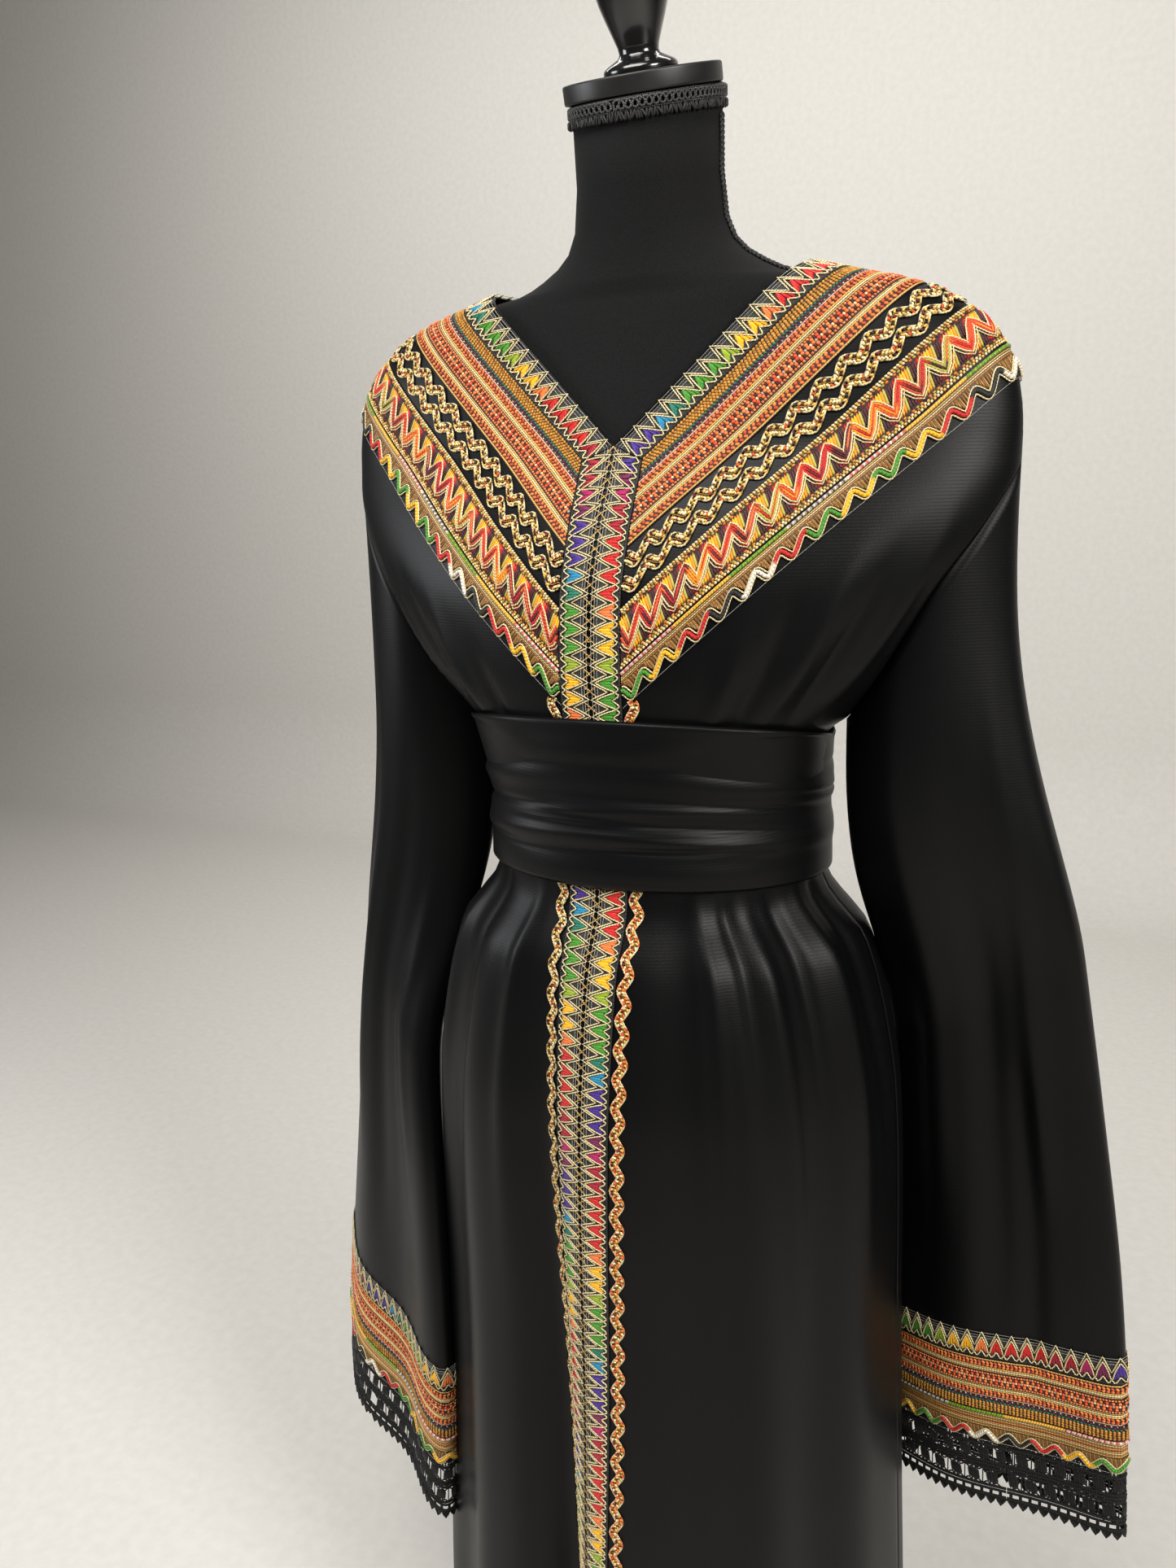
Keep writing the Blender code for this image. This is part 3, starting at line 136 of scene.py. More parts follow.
# Small folds: angle and height where each starts, where it ends, width, depth, and where it is deepest, from 0 to 1
SMALL_FOLDS = [
    (31, 0.985, 30, 0.62, 2.6, 0.0042, 0.16), (40, 0.985, 41, 0.70, 2.4, -0.0036, 0.14),
    (47, 0.985, 50, 0.55, 2.8, 0.0040, 0.18), (57, 0.985, 60, 0.66, 2.6, -0.0034, 0.15),
    (68, 0.985, 72, 0.60, 3.0, 0.0036, 0.16), (78, 0.985, 84, 0.68, 2.8, -0.0030, 0.15),
    (-22, 0.985, -24, 0.60, 2.6, 0.0038, 0.15), (-42, 0.985, -44, 0.62, 2.6, -0.0032, 0.15),
    (-56, 0.985, -60, 0.60, 3.0, 0.0034, 0.15), (-72, 0.985, -78, 0.66, 3.0, -0.0030, 0.15),
    (28, 1.19, 31, 1.085, 2.6, 0.0030, 0.72), (36, 1.21, 38, 1.085, 2.4, -0.0036, 0.72),
    (44, 1.24, 45, 1.085, 2.6, 0.0038, 0.70), (52, 1.24, 53, 1.085, 2.4, -0.0040, 0.70),
    (61, 1.26, 62, 1.085, 2.8, 0.0036, 0.70), (-30, 1.17, -32, 1.085, 2.6, -0.0030, 0.72),
    (-40, 1.20, -41, 1.085, 2.8, 0.0036, 0.70), (-50, 1.22, -51, 1.085, 2.6, -0.0036, 0.70),
    (-60, 1.24, -61, 1.085, 2.8, 0.0034, 0.70), (120, 0.985, 118, 0.55, 3.4, 0.0036, 0.16),
    (140, 0.985, 139, 0.55, 3.2, -0.0034, 0.16), (158, 0.985, 157, 0.50, 3.4, 0.0038, 0.16),
    (176, 0.985, 175, 0.52, 3.2, -0.0036, 0.16), (194, 0.985, 195, 0.50, 3.4, 0.0036, 0.16),
    (212, 0.985, 213, 0.55, 3.2, -0.0034, 0.16), (232, 0.985, 234, 0.55, 3.4, 0.0036, 0.16),
    (130, 1.22, 130, 1.085, 3.0, 0.0034, 0.7), (150, 1.22, 150, 1.085, 3.0, -0.0032, 0.7),
    (168, 1.20, 168, 1.085, 3.0, 0.0030, 0.7), (190, 1.20, 190, 1.085, 3.0, -0.0030, 0.7),
    (208, 1.22, 208, 1.085, 3.0, 0.0032, 0.7), (228, 1.22, 228, 1.085, 3.0, -0.0032, 0.7),
]


def smooth(table, column, height):
    """Value of one column of a table at some heights, on a curve that never overshoots its rows."""
    order = np.argsort(table[:, 0])
    x, y = table[order, 0], table[order, column]
    slopes = np.diff(y) / np.diff(x)
    before, after = slopes[:-1], slopes[1:]
    same = before * after > 0
    inner = np.where(same, 2 * before * after / np.where(same, before + after, 1.0), 0.0)
    tangents = np.concatenate([slopes[:1], inner, slopes[-1:]])
    height = np.clip(height, x[0], x[-1])
    k = np.clip(np.searchsorted(x, height, side="right") - 1, 0, len(x) - 2)
    step = x[k + 1] - x[k]
    u = (height - x[k]) / step
    start = y[k] * (1 + 2 * u) * (1 - u) ** 2 + tangents[k] * step * u * (1 - u) ** 2
    return start + y[k + 1] * u * u * (3 - 2 * u) - tangents[k + 1] * step * u * u * (1 - u)


def bell(angle, centre, width):
    """Bell of height 1 once round the body, in degrees."""
    away = (angle - centre + 180) % 360 - 180
    return np.exp(-(away / width) ** 2)


def ease(share):
    """Smooth step from 0 to 1."""
    share = np.clip(share, 0, 1)
    return share * share * (3 - 2 * share)


def fold_depth(angle, height):
    """How far the cloth stands out or in at an angle from the front, large folds and small."""
    turn = np.degrees(angle)
    drop = np.clip((SKIRT_TOP - height) / (SKIRT_TOP - HEM_HEIGHT), 0, 1)
    grow = np.clip((SKIRT_TOP - height) / FOLD_START, 0, 1)
    total = np.zeros(np.broadcast(angle, height).shape)
    for centre, width, at_waist, at_hem in SKIRT_FOLDS:
        total += (at_waist + (at_hem - at_waist) * drop) * bell(turn, centre, width) * grow
    for first, top, last, low, width, depth, peak in SMALL_FOLDS:
        share = np.clip((top - height) / (top - low), 0, 1)
        fade = ease(np.where(share < peak, share / peak, (1 - share) / (1 - peak)))
        total += SMALL_FOLD_GAIN * depth * fade * bell(turn, first + (last - first) * share, width)
    return total


def body_point(angle, height, shape, out):
    """Point that stands a little out from the body, which has its shape of another height."""
    depth = np.where(np.cos(angle) > 0, smooth(BODY, 2, shape), smooth(BODY, 3, shape))
    return np.stack([(smooth(BODY, 1, shape) + out) * np.sin(angle), -(depth + out) * np.cos(angle), height], -1)


def dress_point(angle, height):
    """Point on the dress: angle 0 is the front, 90 degrees the +X side, 180 the back."""
    angle, height = np.broadcast_arrays(np.asarray(angle, float), np.asarray(height, float))
    return body_point(angle, height, height, fold_depth(angle, height))


print("front of the dress at the hem:", dress_point(0.0, HEM_HEIGHT).round(3))

# %% [markdown]
# ## Lines on the cloth
#
# Each band of the yoke follows the neck's edge at its own distance. A line is found by bisection: going up the body,
# the cloth is inside the line until it crosses it. The same search finds the shoulder and the back.

# %% Lines of the yoke and the centre front
BISECTIONS, LINE_SAMPLES, CENTRE_STEPS, CENTRE_REACH = 34, 160, 360, radians(38)
# Heights where the searches for the shoulder's ridge, the chest and the back start
RIDGE_LOW, CHEST_LOW, BACK_LOW = TIP_HEIGHT - 0.05, 1.0, NECK_POINT_HEIGHT - 0.06


def highest_where(test, low, high):
    """Heights at which a test that holds below stops holding."""
    for _ in range(BISECTIONS):
        middle = (low + high) / 2
        holds = test(middle)
        low, high = np.where(holds, middle, low), np.where(holds, high, middle)
    return low


def neck_edge_x(height):
    """Half width of the V neck at a height, negative below its point."""
    return (height - NECK_POINT_HEIGHT) * NECK_SLOPE


def edge_angle(height):
    """Angle where the front panel ends: shoulder seam, armhole or side seam."""
    share = np.clip((TIP_HEIGHT - height) / (TIP_HEIGHT - UNDERARM_HEIGHT), 0, 1)
    return pi / 2 - ARMHOLE_LEAN * np.abs(np.sin(pi * share)) ** 0.6


def yoke_line_x(distance, height):
    """Half width of the line at a distance from the neck edge."""
    share = np.clip((height - YOKE_LOW) / (YOKE_FULL - YOKE_LOW), 0, 1)
    return neck_edge_x(height) + BAND_REACH * distance * (YOKE_LOW_SHARE + (1 - YOKE_LOW_SHARE) * share)


def back_neck_ends(distance):
    """Where a yoke line crosses the shoulder and the centre back: half width and depth."""
    distance = np.asarray(distance, float)
    ridge = highest_where(lambda h: smooth(BODY, 1, h) > yoke_line_x(distance, h),
                          np.full(distance.shape, RIDGE_LOW), np.full(distance.shape, NECK_SIDE_HEIGHT))
    return smooth(BODY, 1, ridge), smooth(BODY, 3, NECK_BACK_HEIGHT - BACK_DROP * distance)


def yoke_point(side, distance, angle):
    """Point on the chest, the shoulder or the back at a distance from the neck edge."""
    distance, angle = np.broadcast_arrays(np.asarray(distance, float), np.asarray(angle, float))
    front = highest_where(lambda h: smooth(BODY, 1, h) * np.sin(angle) > yoke_line_x(distance, h),
                          np.full(angle.shape, CHEST_LOW), np.full(angle.shape, NECK_SIDE_HEIGHT))
    side_x, back_y = back_neck_ends(distance)
    x, y = side_x * np.cos(angle - pi / 2), back_y * np.sin(angle - pi / 2)
    behind = highest_where(lambda h: (x / smooth(BODY, 1, h)) ** 2 + (y / smooth(BODY, 3, h)) ** 2 < 1,
                           np.full(angle.shape, BACK_LOW), np.full(angle.shape, NECK_SIDE_HEIGHT))
    turn = np.arctan2(x / smooth(BODY, 1, behind), -y / smooth(BODY, 3, behind))
    is_front = angle <= pi / 2
    return dress_point(side * np.where(is_front, angle, turn), np.where(is_front, front, behind))


def run_along(points):
    """Length along a line of points, up to each point."""
    return np.concatenate([[0], np.cumsum(np.linalg.norm(np.diff(points, axis=0), axis=1))])


def spaced(points, count):
    """Shares from 0 to 1 that cut a line of points into equal lengths."""
    run = run_along(points)
    return np.interp(np.linspace(0, run[-1], count), run, np.linspace(0, 1, len(points)))


def strip_angle(distance, half_width):
    """Angle at which a yoke line meets the strip down the centre front."""
    return float(highest_where(lambda a: yoke_point(1, distance, a)[..., 0] < half_width,
                               np.array(0.0), np.array(pi / 4)))


def yoke_line(side, distance, start, end, counts):
    """Points along a yoke line, evenly spaced in front of the shoulder and behind it."""
    pieces = []
    for low, high, count in ((start, pi / 2, counts[0]), (pi / 2, end, counts[1])):
        shares = spaced(yoke_point(side, distance, np.linspace(low, high, LINE_SAMPLES)), count)
        pieces.append(yoke_point(side, distance, low + (high - low) * shares))
    return np.concatenate([pieces[0], pieces[1][1:]])


def centre_points(offsets, heights):
    """Grid of points beside the centre front, measured along the cloth: one row for each height."""
    rows = []
    for height in heights:
        drift = -STRIP_DRIFT * max(0.0, (SKIRT_TOP - height) / (SKIRT_TOP - HEM_HEIGHT))
        angles = drift + np.linspace(-CENTRE_REACH, CENTRE_REACH, CENTRE_STEPS + 1)
        run = run_along(dress_point(angles, height))
        rows.append(dress_point(np.interp(np.array(offsets) + run[CENTRE_STEPS // 2], run, angles), height))
    return np.array(rows)


print("the neck braid crosses the shoulder at", yoke_point(1, 0.01, pi / 2).round(3))

# %% [markdown]
# ## A strip to sew on
#
# Trims are laid out flat, as they are on a table: so far along, so far across, so far up. A strip turns those flat
# numbers into places on the curved cloth. It keeps a grid of points on the cloth and reads between them.

# %% Strip
STRIP_COLUMNS, BAND_START = 7, 0.0238
# A centre strip's rows are closer above the waist, and its mitred top is slanted down to a height
WAIST, MITRE_END, ROWS_ABOVE, ROWS_BELOW = 1.0, 1.20, 60, 150


class Strip:
    """A band of cloth: turns (along, across, up) in metres into points on it."""

    def __init__(self, grid, width, middle):
        self.grid = grid
        self.width = width
        along, across = np.gradient(grid, axis=0), np.gradient(grid, axis=1)
        self.along = along / np.linalg.norm(along, axis=2, keepdims=True)
        normal = np.cross(across, along)
        normal /= np.linalg.norm(normal, axis=2, keepdims=True)
        outward = np.sum((grid - np.array(middle)) * normal) > 0
        self.normal = normal if outward else -normal
        self.across = np.cross(self.normal, self.along) * (-1 if outward else 1)
        self.run = run_along(grid[:, grid.shape[1] // 2])
        self.length = self.run[-1]

    def read(self, field, along, across):
        """Value of one of the strip's grids between its points."""
        rows, columns = field.shape[:2]
        i = np.interp(along, self.run, np.arange(rows))
        j = np.clip(np.asarray(across) / self.width, 0, 1) * (columns - 1)
        i0, j0 = np.minimum(i.astype(int), rows - 2), np.minimum(j.astype(int), columns - 2)
        u, v = (i - i0)[..., None], (j - j0)[..., None]
        low = field[i0, j0] * (1 - v) + field[i0, j0 + 1] * v
        high = field[i0 + 1, j0] * (1 - v) + field[i0 + 1, j0 + 1] * v
        return low * (1 - u) + high * u

    def at(self, along, across, up):
        """Points on the strip; those past its edges carry straight on."""
        along, across, up = np.broadcast_arrays(along, across, up)
        inside = np.clip(across, 0, self.width)
        beyond = (across - inside)[..., None] * self.read(self.across, along, inside)
        return self.read(self.grid, along, inside) + beyond + self.read(self.normal, along, inside) * up[..., None]


def yoke_strip(side, near, far, counts, start=BAND_START, end=YOKE_BACK_END):
    """Strip between two distances from the neck's edge, from a half width, or one at each edge where it is mitred."""
    starts = np.linspace(*start, STRIP_COLUMNS) if isinstance(start, tuple) else np.full(STRIP_COLUMNS, start)
    lines = [yoke_line(side, d, strip_angle(d, half), end, counts)
             for d, half in zip(np.linspace(near, far, STRIP_COLUMNS), starts)]
    return Strip(np.stack(lines, 1), far - near, (0, 0, 1.2))


def centre_strip(side, near, far, top, bottom, fall=0.0):
    """Strip beside the centre front, from the top down to the hem; fall slants its top edge for a mitre."""
    heights = np.concatenate([np.linspace(top, WAIST, ROWS_ABOVE), np.linspace(WAIST, bottom, ROWS_BELOW)[1:]])
    level = centre_points(side * np.linspace(near, far, STRIP_COLUMNS), heights)
    grid = level.copy()
    for column in range(STRIP_COLUMNS if fall else 0):
        lower = heights - fall * column / (STRIP_COLUMNS - 1) * np.clip((heights - MITRE_END) / (top - MITRE_END), 0, 1)
        for axis in range(3):
            grid[:, column, axis] = np.interp(-lower, -heights, level[:, column, axis])
    return Strip(grid, far - near, (0, 0, 0.6))


print("the strip helper is ready")

# %% [markdown]
# ## Two Geometry Nodes trees do the sewing
#
# Everything on the trims is either a stitch, a short raised bar of thread, or a cord that runs along a path. One tree
# puts a small stitch mesh on each point of a cloud and turns it with two directions stored on the points. The other
# turns lines into round cords. Sizes and colours travel along as attributes, and both trees end in real meshes.

# %% Tree helpers


def new_tree(name, sockets):
    """Geometry Nodes tree with a geometry in and out, and some named inputs."""
    tree = bpy.data.node_groups.new(name, "GeometryNodeTree")
    tree.interface.new_socket("Geometry", in_out="INPUT", socket_type="NodeSocketGeometry")
    for label, kind in sockets:
        tree.interface.new_socket(label, in_out="INPUT", socket_type="NodeSocket" + kind)
    tree.interface.new_socket("Geometry", in_out="OUTPUT", socket_type="NodeSocketGeometry")
    return tree, tree.nodes.new("NodeGroupInput"), tree.nodes.new("NodeGroupOutput")


def stored(tree, name, kind):
    """Node that reads a named attribute."""
    node = tree.nodes.new("GeometryNodeInputNamedAttribute")
    node.data_type = kind
    node.inputs["Name"].default_value = name
    return node.outputs["Attribute"]


def store(tree, geometry, name, value):
    """Node that keeps a number on the points of a geometry."""
    node = tree.nodes.new("GeometryNodeStoreNamedAttribute")
    node.inputs["Name"].default_value = name
    tree.links.new(geometry, node.inputs["Geometry"])
    tree.links.new(value, node.inputs["Value"])
    return node.outputs["Geometry"]


def end_tree(tree, geometry, material, out):
    """Every tree ends in real geometry with its material set."""
    real = tree.nodes.new("GeometryNodeRealizeInstances")
    finish = tree.nodes.new("GeometryNodeSetMaterial")
    tree.links.new(geometry, real.inputs["Geometry"])
    tree.links.new(real.outputs["Geometry"], finish.inputs["Geometry"])
    tree.links.new(material, finish.inputs["Material"])
    tree.links.new(finish.outputs["Geometry"], out.inputs["Geometry"])


def stitch_tree():
    """Puts a motif on every point, turned by the point's own directions and scaled by its size."""
    tree, start, out = new_tree("sewn_stitches", [("Motif", "Object"), ("Material", "Material")])
    motif = tree.nodes.new("GeometryNodeObjectInfo")
    turn = tree.nodes.new("FunctionNodeAxesToRotation")
    turn.primary_axis, turn.secondary_axis = "Z", "X"
    place = tree.nodes.new("GeometryNodeInstanceOnPoints")
    tree.links.new(start.outputs["Motif"], motif.inputs["Object"])
    tree.links.new(stored(tree, "face", "FLOAT_VECTOR"), turn.inputs[0])
    tree.links.new(stored(tree, "lie", "FLOAT_VECTOR"), turn.inputs[1])
    tree.links.new(start.outputs["Geometry"], place.inputs["Points"])
    tree.links.new(motif.outputs["Geometry"], place.inputs["Instance"])
    tree.links.new(turn.outputs["Rotation"], place.inputs["Rotation"])
    tree.links.new(stored(tree, "size", "FLOAT_VECTOR"), place.inputs["Scale"])
    end_tree(tree, place.outputs["Instances"], start.outputs["Material"], out)
    return tree


def cord_tree():
    """Turns lines into round cords; run is the length along one, turn how far round it."""
    tree, start, out = new_tree("laid_cords", [("Radius", "Float"), ("Sides", "Int"), ("Material", "Material")])
    lines = tree.nodes.new("GeometryNodeMeshToCurve")
    measure = tree.nodes.new("GeometryNodeSplineParameter")
    ring = tree.nodes.new("GeometryNodeCurvePrimitiveCircle")
    skin = tree.nodes.new("GeometryNodeCurveToMesh")
    soft = tree.nodes.new("GeometryNodeSetShadeSmooth")
    skin.inputs["Fill Caps"].default_value = True
    tree.links.new(start.outputs["Geometry"], lines.inputs["Mesh"])
    tree.links.new(start.outputs["Radius"], ring.inputs["Radius"])
    tree.links.new(start.outputs["Sides"], ring.inputs["Resolution"])
    run = store(tree, lines.outputs["Curve"], "run", measure.outputs["Length"])
    turn = store(tree, ring.outputs["Curve"], "turn", measure.outputs["Factor"])
    tree.links.new(run, skin.inputs["Curve"])
    tree.links.new(turn, skin.inputs["Profile Curve"])
    tree.links.new(skin.outputs["Mesh"], soft.inputs["Geometry"])
    end_tree(tree, soft.outputs["Geometry"], start.outputs["Material"], out)
    return tree


STITCHES = stitch_tree()
CORDS = cord_tree()
print("trees:", [tree.name for tree in bpy.data.node_groups])

# %% Turning a tree's result into a plain mesh


def new_object(name, data):
    """Object at the origin, in the scene."""
    thing = bpy.data.objects.new(name, data)
    bpy.context.scene.collection.objects.link(thing)
    return thing


def point_field(mesh, name, kind, values):
    """Stores one value for each point of a mesh."""
    layer = mesh.attributes.new(name, kind, "POINT")
    key = {"FLOAT_VECTOR": "vector", "FLOAT_COLOR": "color", "FLOAT": "value"}[kind]
    layer.data.foreach_set(key, np.asarray(values, np.float32).ravel())


def grown(source, tree, settings):
    """The plain mesh that a tree makes of a source object, which is removed."""
    change = source.modifiers.new("grow", "NODES")
    change.node_group = tree
    for item in tree.interface.items_tree:
        if item.in_out == "INPUT" and item.name in settings:
            change[item.identifier] = settings[item.name]
    ready = source.evaluated_get(bpy.context.evaluated_depsgraph_get())
    mesh = bpy.data.meshes.new_from_object(ready)
    bpy.data.objects.remove(source)
    return mesh


def joined(name, meshes):
    """One object from several meshes, each with its own material."""
    things = [new_object(name, mesh) for mesh in meshes]
    if len(things) > 1:
        with bpy.context.temp_override(active_object=things[0], selected_editable_objects=things):
            bpy.ops.object.join()
    things[0].name = things[0].data.name = name
    return things[0]


@contextmanager
def edited(mesh):
    """The mesh opened for editing, and written back at the end."""
    build = bmesh.new()
    build.from_mesh(mesh)
    yield build
    build.to_mesh(mesh)
    build.free()


def stitch_motif():
    """One stitch: a short raised bar, 1 long, 1 wide and 1 high, with four sides and 16 triangles."""
    mesh = bpy.data.meshes.new("stitch")
    with edited(mesh) as build:
        rings = []
        for x in (-0.30, 0.30):
            ring = [Vector((x, sin(k * pi / 2) / 2, cos(k * pi / 2) / 2)) for k in range(4)]
            rings.append([build.verts.new(p) for p in ring])
        for k in range(4):
            build.faces.new((rings[0][k], rings[0][(k + 1) % 4], rings[1][(k + 1) % 4], rings[1][k]))
        for ring, x in ((rings[0], -0.5), (rings[1], 0.5)):
            tip = build.verts.new((x, 0, 0))
            for k in range(4):
                build.faces.new((ring[k], tip, ring[(k + 1) % 4]))
        bmesh.ops.recalc_face_normals(build, faces=build.faces)
    mesh.shade_smooth()
    layer = mesh.uv_layers.new(name="UVMap")
    for loop in mesh.loops:
        place = mesh.vertices[loop.vertex_index].co
        layer.data[loop.index].uv = (place.x + 0.5, place.y + 0.5)
    return mesh


MOTIF = bpy.data.objects.new("stitch_motif", stitch_motif())
print("one stitch has", len(MOTIF.data.polygons), "faces")

# %% [markdown]
# ## Finishes
#
# Satin is a weave with long floats: it is nearly black where it turns away and a soft broad grey where it faces the
# light, so it gets a middling roughness, a fine cross weave in its bump and slow changes in its shine. The threads
# and cords take their colour from the attribute tint, and each has its own small relief: ribs along silk, a twist on
# cords, flecks of metal on the gold. The cords' colour also follows their twist: painted shade in its grooves and a
# painted highlight on its crowns.

# %% Material helper


class Finish:
    """A material while it is made: its shader, and short ways to add nodes."""

    def __init__(self, name, roughness, **settings):
        self.material = bpy.data.materials.new(name)
        self.material.use_nodes = True
        self.nodes, self.links = self.material.node_tree.nodes, self.material.node_tree.links
        self.shader = self.nodes["Principled BSDF"]
        self.shader.inputs["Roughness"].default_value = roughness
        for label, value in settings.items():
            self.shader.inputs[label.replace("_", " ")].default_value = value

    def add(self, kind, inputs=(), **settings):
        """Node with its settings made and its inputs linked or filled."""
        node = self.nodes.new("ShaderNode" + kind)
        for key, value in settings.items():
            setattr(node, key, value)
        for label, value in dict(inputs).items():
            if isinstance(value, bpy.types.NodeSocket):
                self.links.new(value, node.inputs[label])
            else:
                node.inputs[label].default_value = value
        return node

    def drive(self, label, value):
        """Links a value to one of the shader's inputs."""
        self.links.new(value, self.shader.inputs[label])

    def math(self, operation, *values):
        """Result of a sum on numbers."""
        return self.add("Math", dict(enumerate(values)), operation=operation).outputs[0]

    def place(self):
        """The piece's own coordinates."""
        return self.add("TexCoord").outputs["Object"]

    def field(self, name):
        """Node that reads a named attribute."""
        return self.add("Attribute", attribute_name=name)

    def noise(self, scale, detail=3.0, vector=None):
        """Noise on the piece's own coordinates, or on others."""
        where = vector or self.place()
        return self.add("TexNoise", {"Vector": where, "Scale": scale, "Detail": detail}).outputs["Fac"]

    def ramp(self, value, low, high, start=0.3, end=0.7):
        """Colour between two others, which it reaches where the value is at the start and at the end."""
        node = self.add("ValToRGB", {"Fac": value})
        for stop, position, colour in zip(node.color_ramp.elements, (start, end), (low, high)):
            stop.position, stop.color = position, (*colour, 1)
        return node.outputs["Color"]

    def spread(self, value, low, high):
        """A number from 0 to 1 stretched between two others."""
        return self.add("MapRange", {"Value": value, "To Min": low, "To Max": high}).outputs["Result"]

    def waves(self, value, period):
        """Sine of a number, once for each period, from 0 to 1."""
        return self.math("MULTIPLY_ADD", self.math("SINE", self.math("MULTIPLY", value, 2 * pi / period)), 0.5, 0.5)

    def weave(self, where, across_period, up_period):
        """Threads that cross: across the cloth along X and Y, and up it along Z."""
        parts = self.add("SeparateXYZ", {"Vector": where})
        across = self.math("ADD", parts.outputs["X"], parts.outputs["Y"])
        return self.math("MULTIPLY", self.waves(across, across_period), self.waves(parts.outputs["Z"], up_period))

    def tinted(self, shade):
        """Base colour from the attribute tint, times a number."""
        colour = self.add("VectorMath", {0: self.field("tint").outputs["Color"], 1: shade}, operation="MULTIPLY")
        self.drive("Base Color", colour.outputs["Vector"])

    def relief(self, height, distance, strength):
        """Bump from a height between 0 and 1."""
        bump = self.add("Bump", {"Height": height, "Distance": distance, "Strength": strength})
        self.drive("Normal", bump.outputs["Normal"])


print("the finish helper is ready")

# %% Satin
FLOAT_WIDTH, FLOAT_LENGTH = 0.0009, 0.0022


def satin_finish():
    """Black satin: floats run up the cloth, and the shine changes slowly over it."""
    finish = Finish("black_satin", 0.38, Specular_IOR_Level=0.15)
    finish.drive("Base Color", finish.ramp(finish.noise(5.0, 2.0), (0.0016, 0.0016, 0.0018), (0.0028, 0.0028, 0.0031)))
    finish.drive("Roughness", finish.spread(finish.noise(16.0), 0.37, 0.45))
    where = finish.place()
    stretched = finish.add("Mapping", {"Vector": where, "Scale": (900, 900, 90)}).outputs["Vector"]
    fuzz = finish.noise(1.0, 2.0, stretched)
    finish.relief(finish.math("ADD", finish.weave(where, FLOAT_WIDTH, FLOAT_LENGTH), fuzz), 0.00006, 0.55)
    return finish.material


SATIN = satin_finish()
print("made", SATIN.name)

# %% Threads, cords and grounds


def thread_finish(name, roughness, metallic, ribs, fleck):
    """Stitches: their own colour, ribs of thread along them, and flecks between light and dark."""
    finish = Finish(name, roughness, Metallic=metallic, Sheen_Weight=0.04)
    finish.tinted(finish.spread(finish.noise(1400.0, 2.0), 1 - fleck, 1 + fleck))
    flat = finish.add("UVMap", uv_map="UVMap").outputs["UV"]
    side = finish.add("SeparateXYZ", {"Vector": flat}).outputs["Y"]
    finish.relief(finish.waves(side, 1 / ribs), 0.0002, 0.7)
    return finish.material


def cord_finish(name, roughness, metallic, pitch, fleck):
    """Cords: their colour, two strands twisted round each other, painted shade in the grooves, painted highlight on
    crowns.
    """
    finish = Finish(name, roughness, Metallic=metallic, Sheen_Weight=0.03)
    run, turn = finish.field("run").outputs["Fac"], finish.field("turn").outputs["Fac"]
    twist = finish.waves(finish.math("MULTIPLY_ADD", run, 1 / pitch, turn), 1.0)
    speck = finish.spread(finish.noise(900.0, 2.0), 1 - fleck, 1 + fleck)
    # Colour follows the twist: painted shade in the grooves between the strands, a painted highlight on their crowns
    finish.tinted(finish.math("MULTIPLY", speck, finish.spread(twist, 0.55, 1.1)))
    finish.relief(twist, 0.0003, 0.8)
    return finish.material


def ground_finish(name, low, high, roughness, period):
    """Woven ground under the stitches: a close cross weave of two shades."""
    finish = Finish(name, roughness)
    weave = finish.weave(finish.place(), period, period)
    finish.drive("Base Color", finish.ramp(weave, low, high, 0.1))
    finish.relief(weave, 0.00015, 0.8)
    return finish.material


SILK = thread_finish("silk_thread", 0.42, 0.0, 5, 0.22)
METAL_THREAD = thread_finish("metal_thread", 0.34, 0.25, 3, 0.35)
GOLD_CORD = cord_finish("cream_gold_cord", 0.36, 0.15, 0.0022, 0.28)
COTTON_CORD = cord_finish("cotton_cord", 0.62, 0.0, 0.0026, 0.18)
TULLE = ground_finish("black_tulle", (0.010, 0.010, 0.011), (0.045, 0.043, 0.040), 0.7, 0.0011)
MAROON_GROUND = ground_finish("maroon_ground", (0.016, 0.003, 0.003), (0.060, 0.012, 0.010), 0.7, 0.0012)
BRONZE_GROUND = ground_finish("bronze_ground", (0.035, 0.014, 0.005), (0.16, 0.075, 0.020), 0.5, 0.0010)
print("thread finishes:", SILK.name, METAL_THREAD.name, GOLD_CORD.name, COTTON_CORD.name)

# %% Black finishes


def jersey_finish():
    """Matt black jersey with a fine uneven surface."""
    finish = Finish("jersey", 0.88, Sheen_Weight=0.03, Sheen_Roughness=0.5, Specular_IOR_Level=0.12)
    grain = finish.noise(900.0, 4.0)
    finish.drive("Base Color", finish.ramp(grain, (0.0040, 0.0040, 0.0043), (0.0080, 0.0080, 0.0084)))
    finish.relief(grain, 0.0002, 0.8)
    return finish.material


def hard_black(name, roughness, coat, scale):
    """Gloss or satin black paint, with slow waves from the brush and small changes in its shine."""
    finish = Finish(name, roughness, Coat_Weight=coat, Coat_Roughness=0.08)
    slow = finish.noise(scale, 2.0)
    finish.drive("Base Color", finish.ramp(slow, (0.004, 0.004, 0.004), (0.008, 0.0075, 0.0075)))
    finish.drive("Roughness", finish.spread(finish.noise(scale * 5), roughness * 0.8, roughness * 1.3))
    finish.relief(slow, 0.0004, 0.35)
    return finish.material


